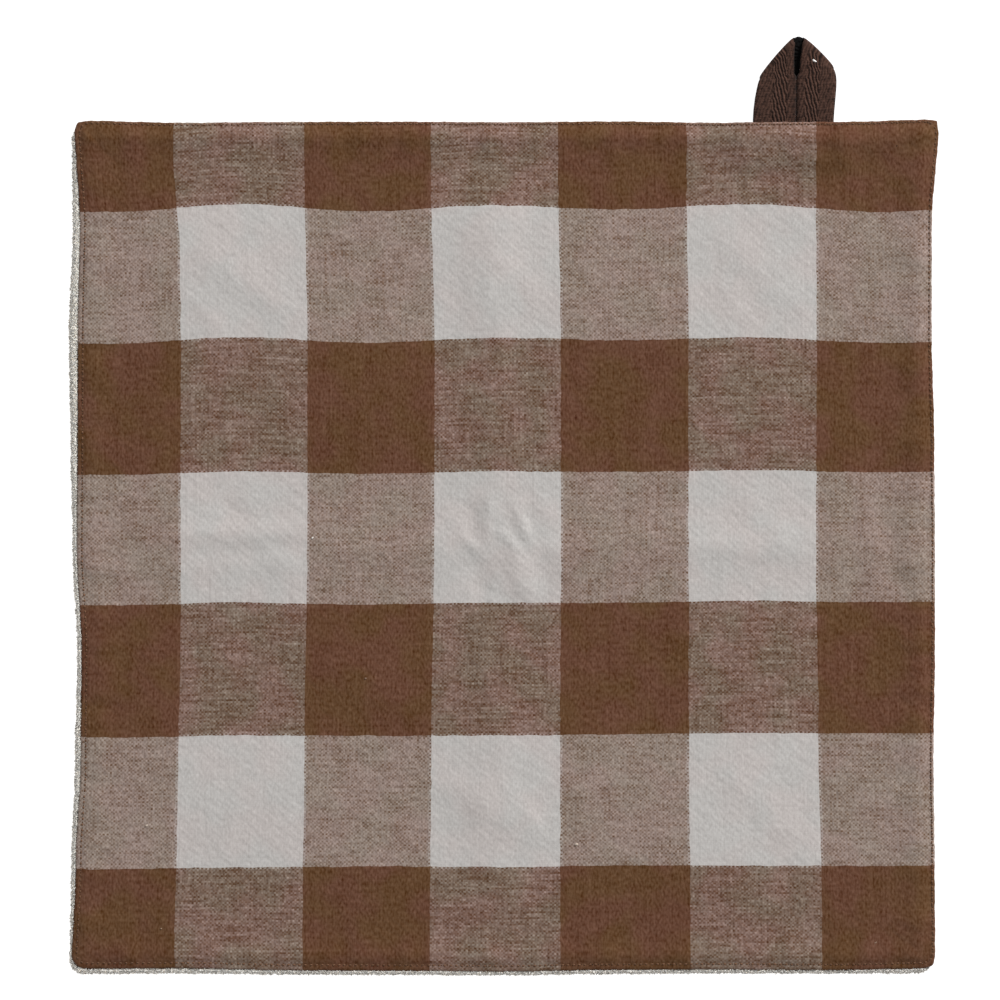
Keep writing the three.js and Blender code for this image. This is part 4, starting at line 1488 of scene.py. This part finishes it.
# The legs' inner selvedges lie in each other's shade too, where they meet.
MEET_X, SHADE_WIDTH, SHADE = 0.6, 1.2, 0.4
slit = np.maximum(slit, SHADE * np.exp(-((offset[:, 0] - MEET_X) / SHADE_WIDTH) ** 4))
store(tape_loop, "painted_shade", slit)
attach(tape_loop, "root")
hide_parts("hanging_loop")

# %% [markdown]
# ## Neps and lint
#
# Cotton carries small knots of fibre, neps, and picks up lint. There are only a few, listed one by
# one: seven neps on the front and a white piece of lint on the loop. They are squashed little
# balls with an uneven surface, each with its own size and tone.

# %% Neps and lint
NEP_THICKNESS = 0.28   # half of it, in mm
NEP_RISE = 0.1         # how far a nep's middle stands above the cloth
NEP_DARK = 0.75        # the tone of its darker fibres beside the lighter ones
LOOP_RISE = 0.6        # and the loop's face lies this much higher than the front's
NEPS = [
    # x, y, half length, half width, direction, colour; the last one is the lint
    (-119.7, -133.3, 0.34, 0.26, 20, "#9c8470"),
    (-124.8, -97.4, 0.50, 0.36, 30, "#c4b5a7"),
    (24.9, -103.9, 0.60, 0.48, 0, "#c4b5a7"),
    (136.5, 139.3, 0.50, 0.42, 0, "#33231a"),
    (129.1, -138.2, 0.80, 0.34, 25, "#8b7464"),
    (-67.0, 2.8, 0.45, 0.35, 40, "#d8d2cc"),
    (-48.5, -46.1, 0.36, 0.28, 0, "#93796a"),
    (107.8, 168.9, 0.85, 0.34, 150, "#f1eeea"),
]
for k, (nx, ny, length, width, direction, code) in enumerate(NEPS):
    lint, tree = new_material(f"cotton nep {k + 1}")
    fuzz = add(tree, "TexNoise", {"Vector": add(tree, "TexCoord", out=3), "Scale": 2500.0})
    base = linear(code)
    dark = [c * NEP_DARK for c in base[:3]] + [1.0]
    shade = add(tree, "Mix", {0: fuzz, 6: dark, 7: base}, **COLOURS)
    surface = add(tree, "BsdfPrincipled", {"Base Color": shade, "Roughness": 0.95,
                                           "Specular IOR Level": 0.1})
    add(tree, "OutputMaterial", {"Surface": surface})
    spot = np.array([[nx, ny]])
    inset = (front["half"] - np.abs(spot)).min(axis=1)
    lift = lift_with_puckers(spot, inset)[0] if ny < LOOP_Y else LOOP_RISE
    level = front["underside"] + FACE_HEIGHT + lift + NEP_RISE
    bpy.ops.object.select_all(action="DESELECT")
    bpy.ops.mesh.primitive_ico_sphere_add(subdivisions=2, radius=1.0)
    nep = bpy.context.object
    nep.name = f"nep_{k + 1}"
    turn = math.radians(direction)
    for vertex in nep.data.vertices:
        a, b, c = vertex.co
        rough = 1 + 0.25 * math.sin(7 * a + 3 * b + 5 * k) * math.cos(6 * c + 4 * b)
        a, b, c = a * length * rough, b * width * rough, c * NEP_THICKNESS * rough
        vertex.co = ((nx + a * math.cos(turn) - b * math.sin(turn)) * MM,
                     (ny + a * math.sin(turn) + b * math.cos(turn)) * MM,
                     (level + c) * MM)
    nep.data.polygons.foreach_set("use_smooth", [True] * len(nep.data.polygons))
    nep.data.materials.append(lint)
    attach(nep, "root")

# %% [markdown]
#
# Both panels were cut 8 mm bigger all round, for the seam allowance that is turned in. Last, the
# triangles of all the shown meshes are counted.

total = sum(len(p.vertices) - 2 for o in bpy.context.scene.objects if o.type == "MESH"
            and not o.hide_render for p in o.data.polygons)
print("triangles shown in all:", total)
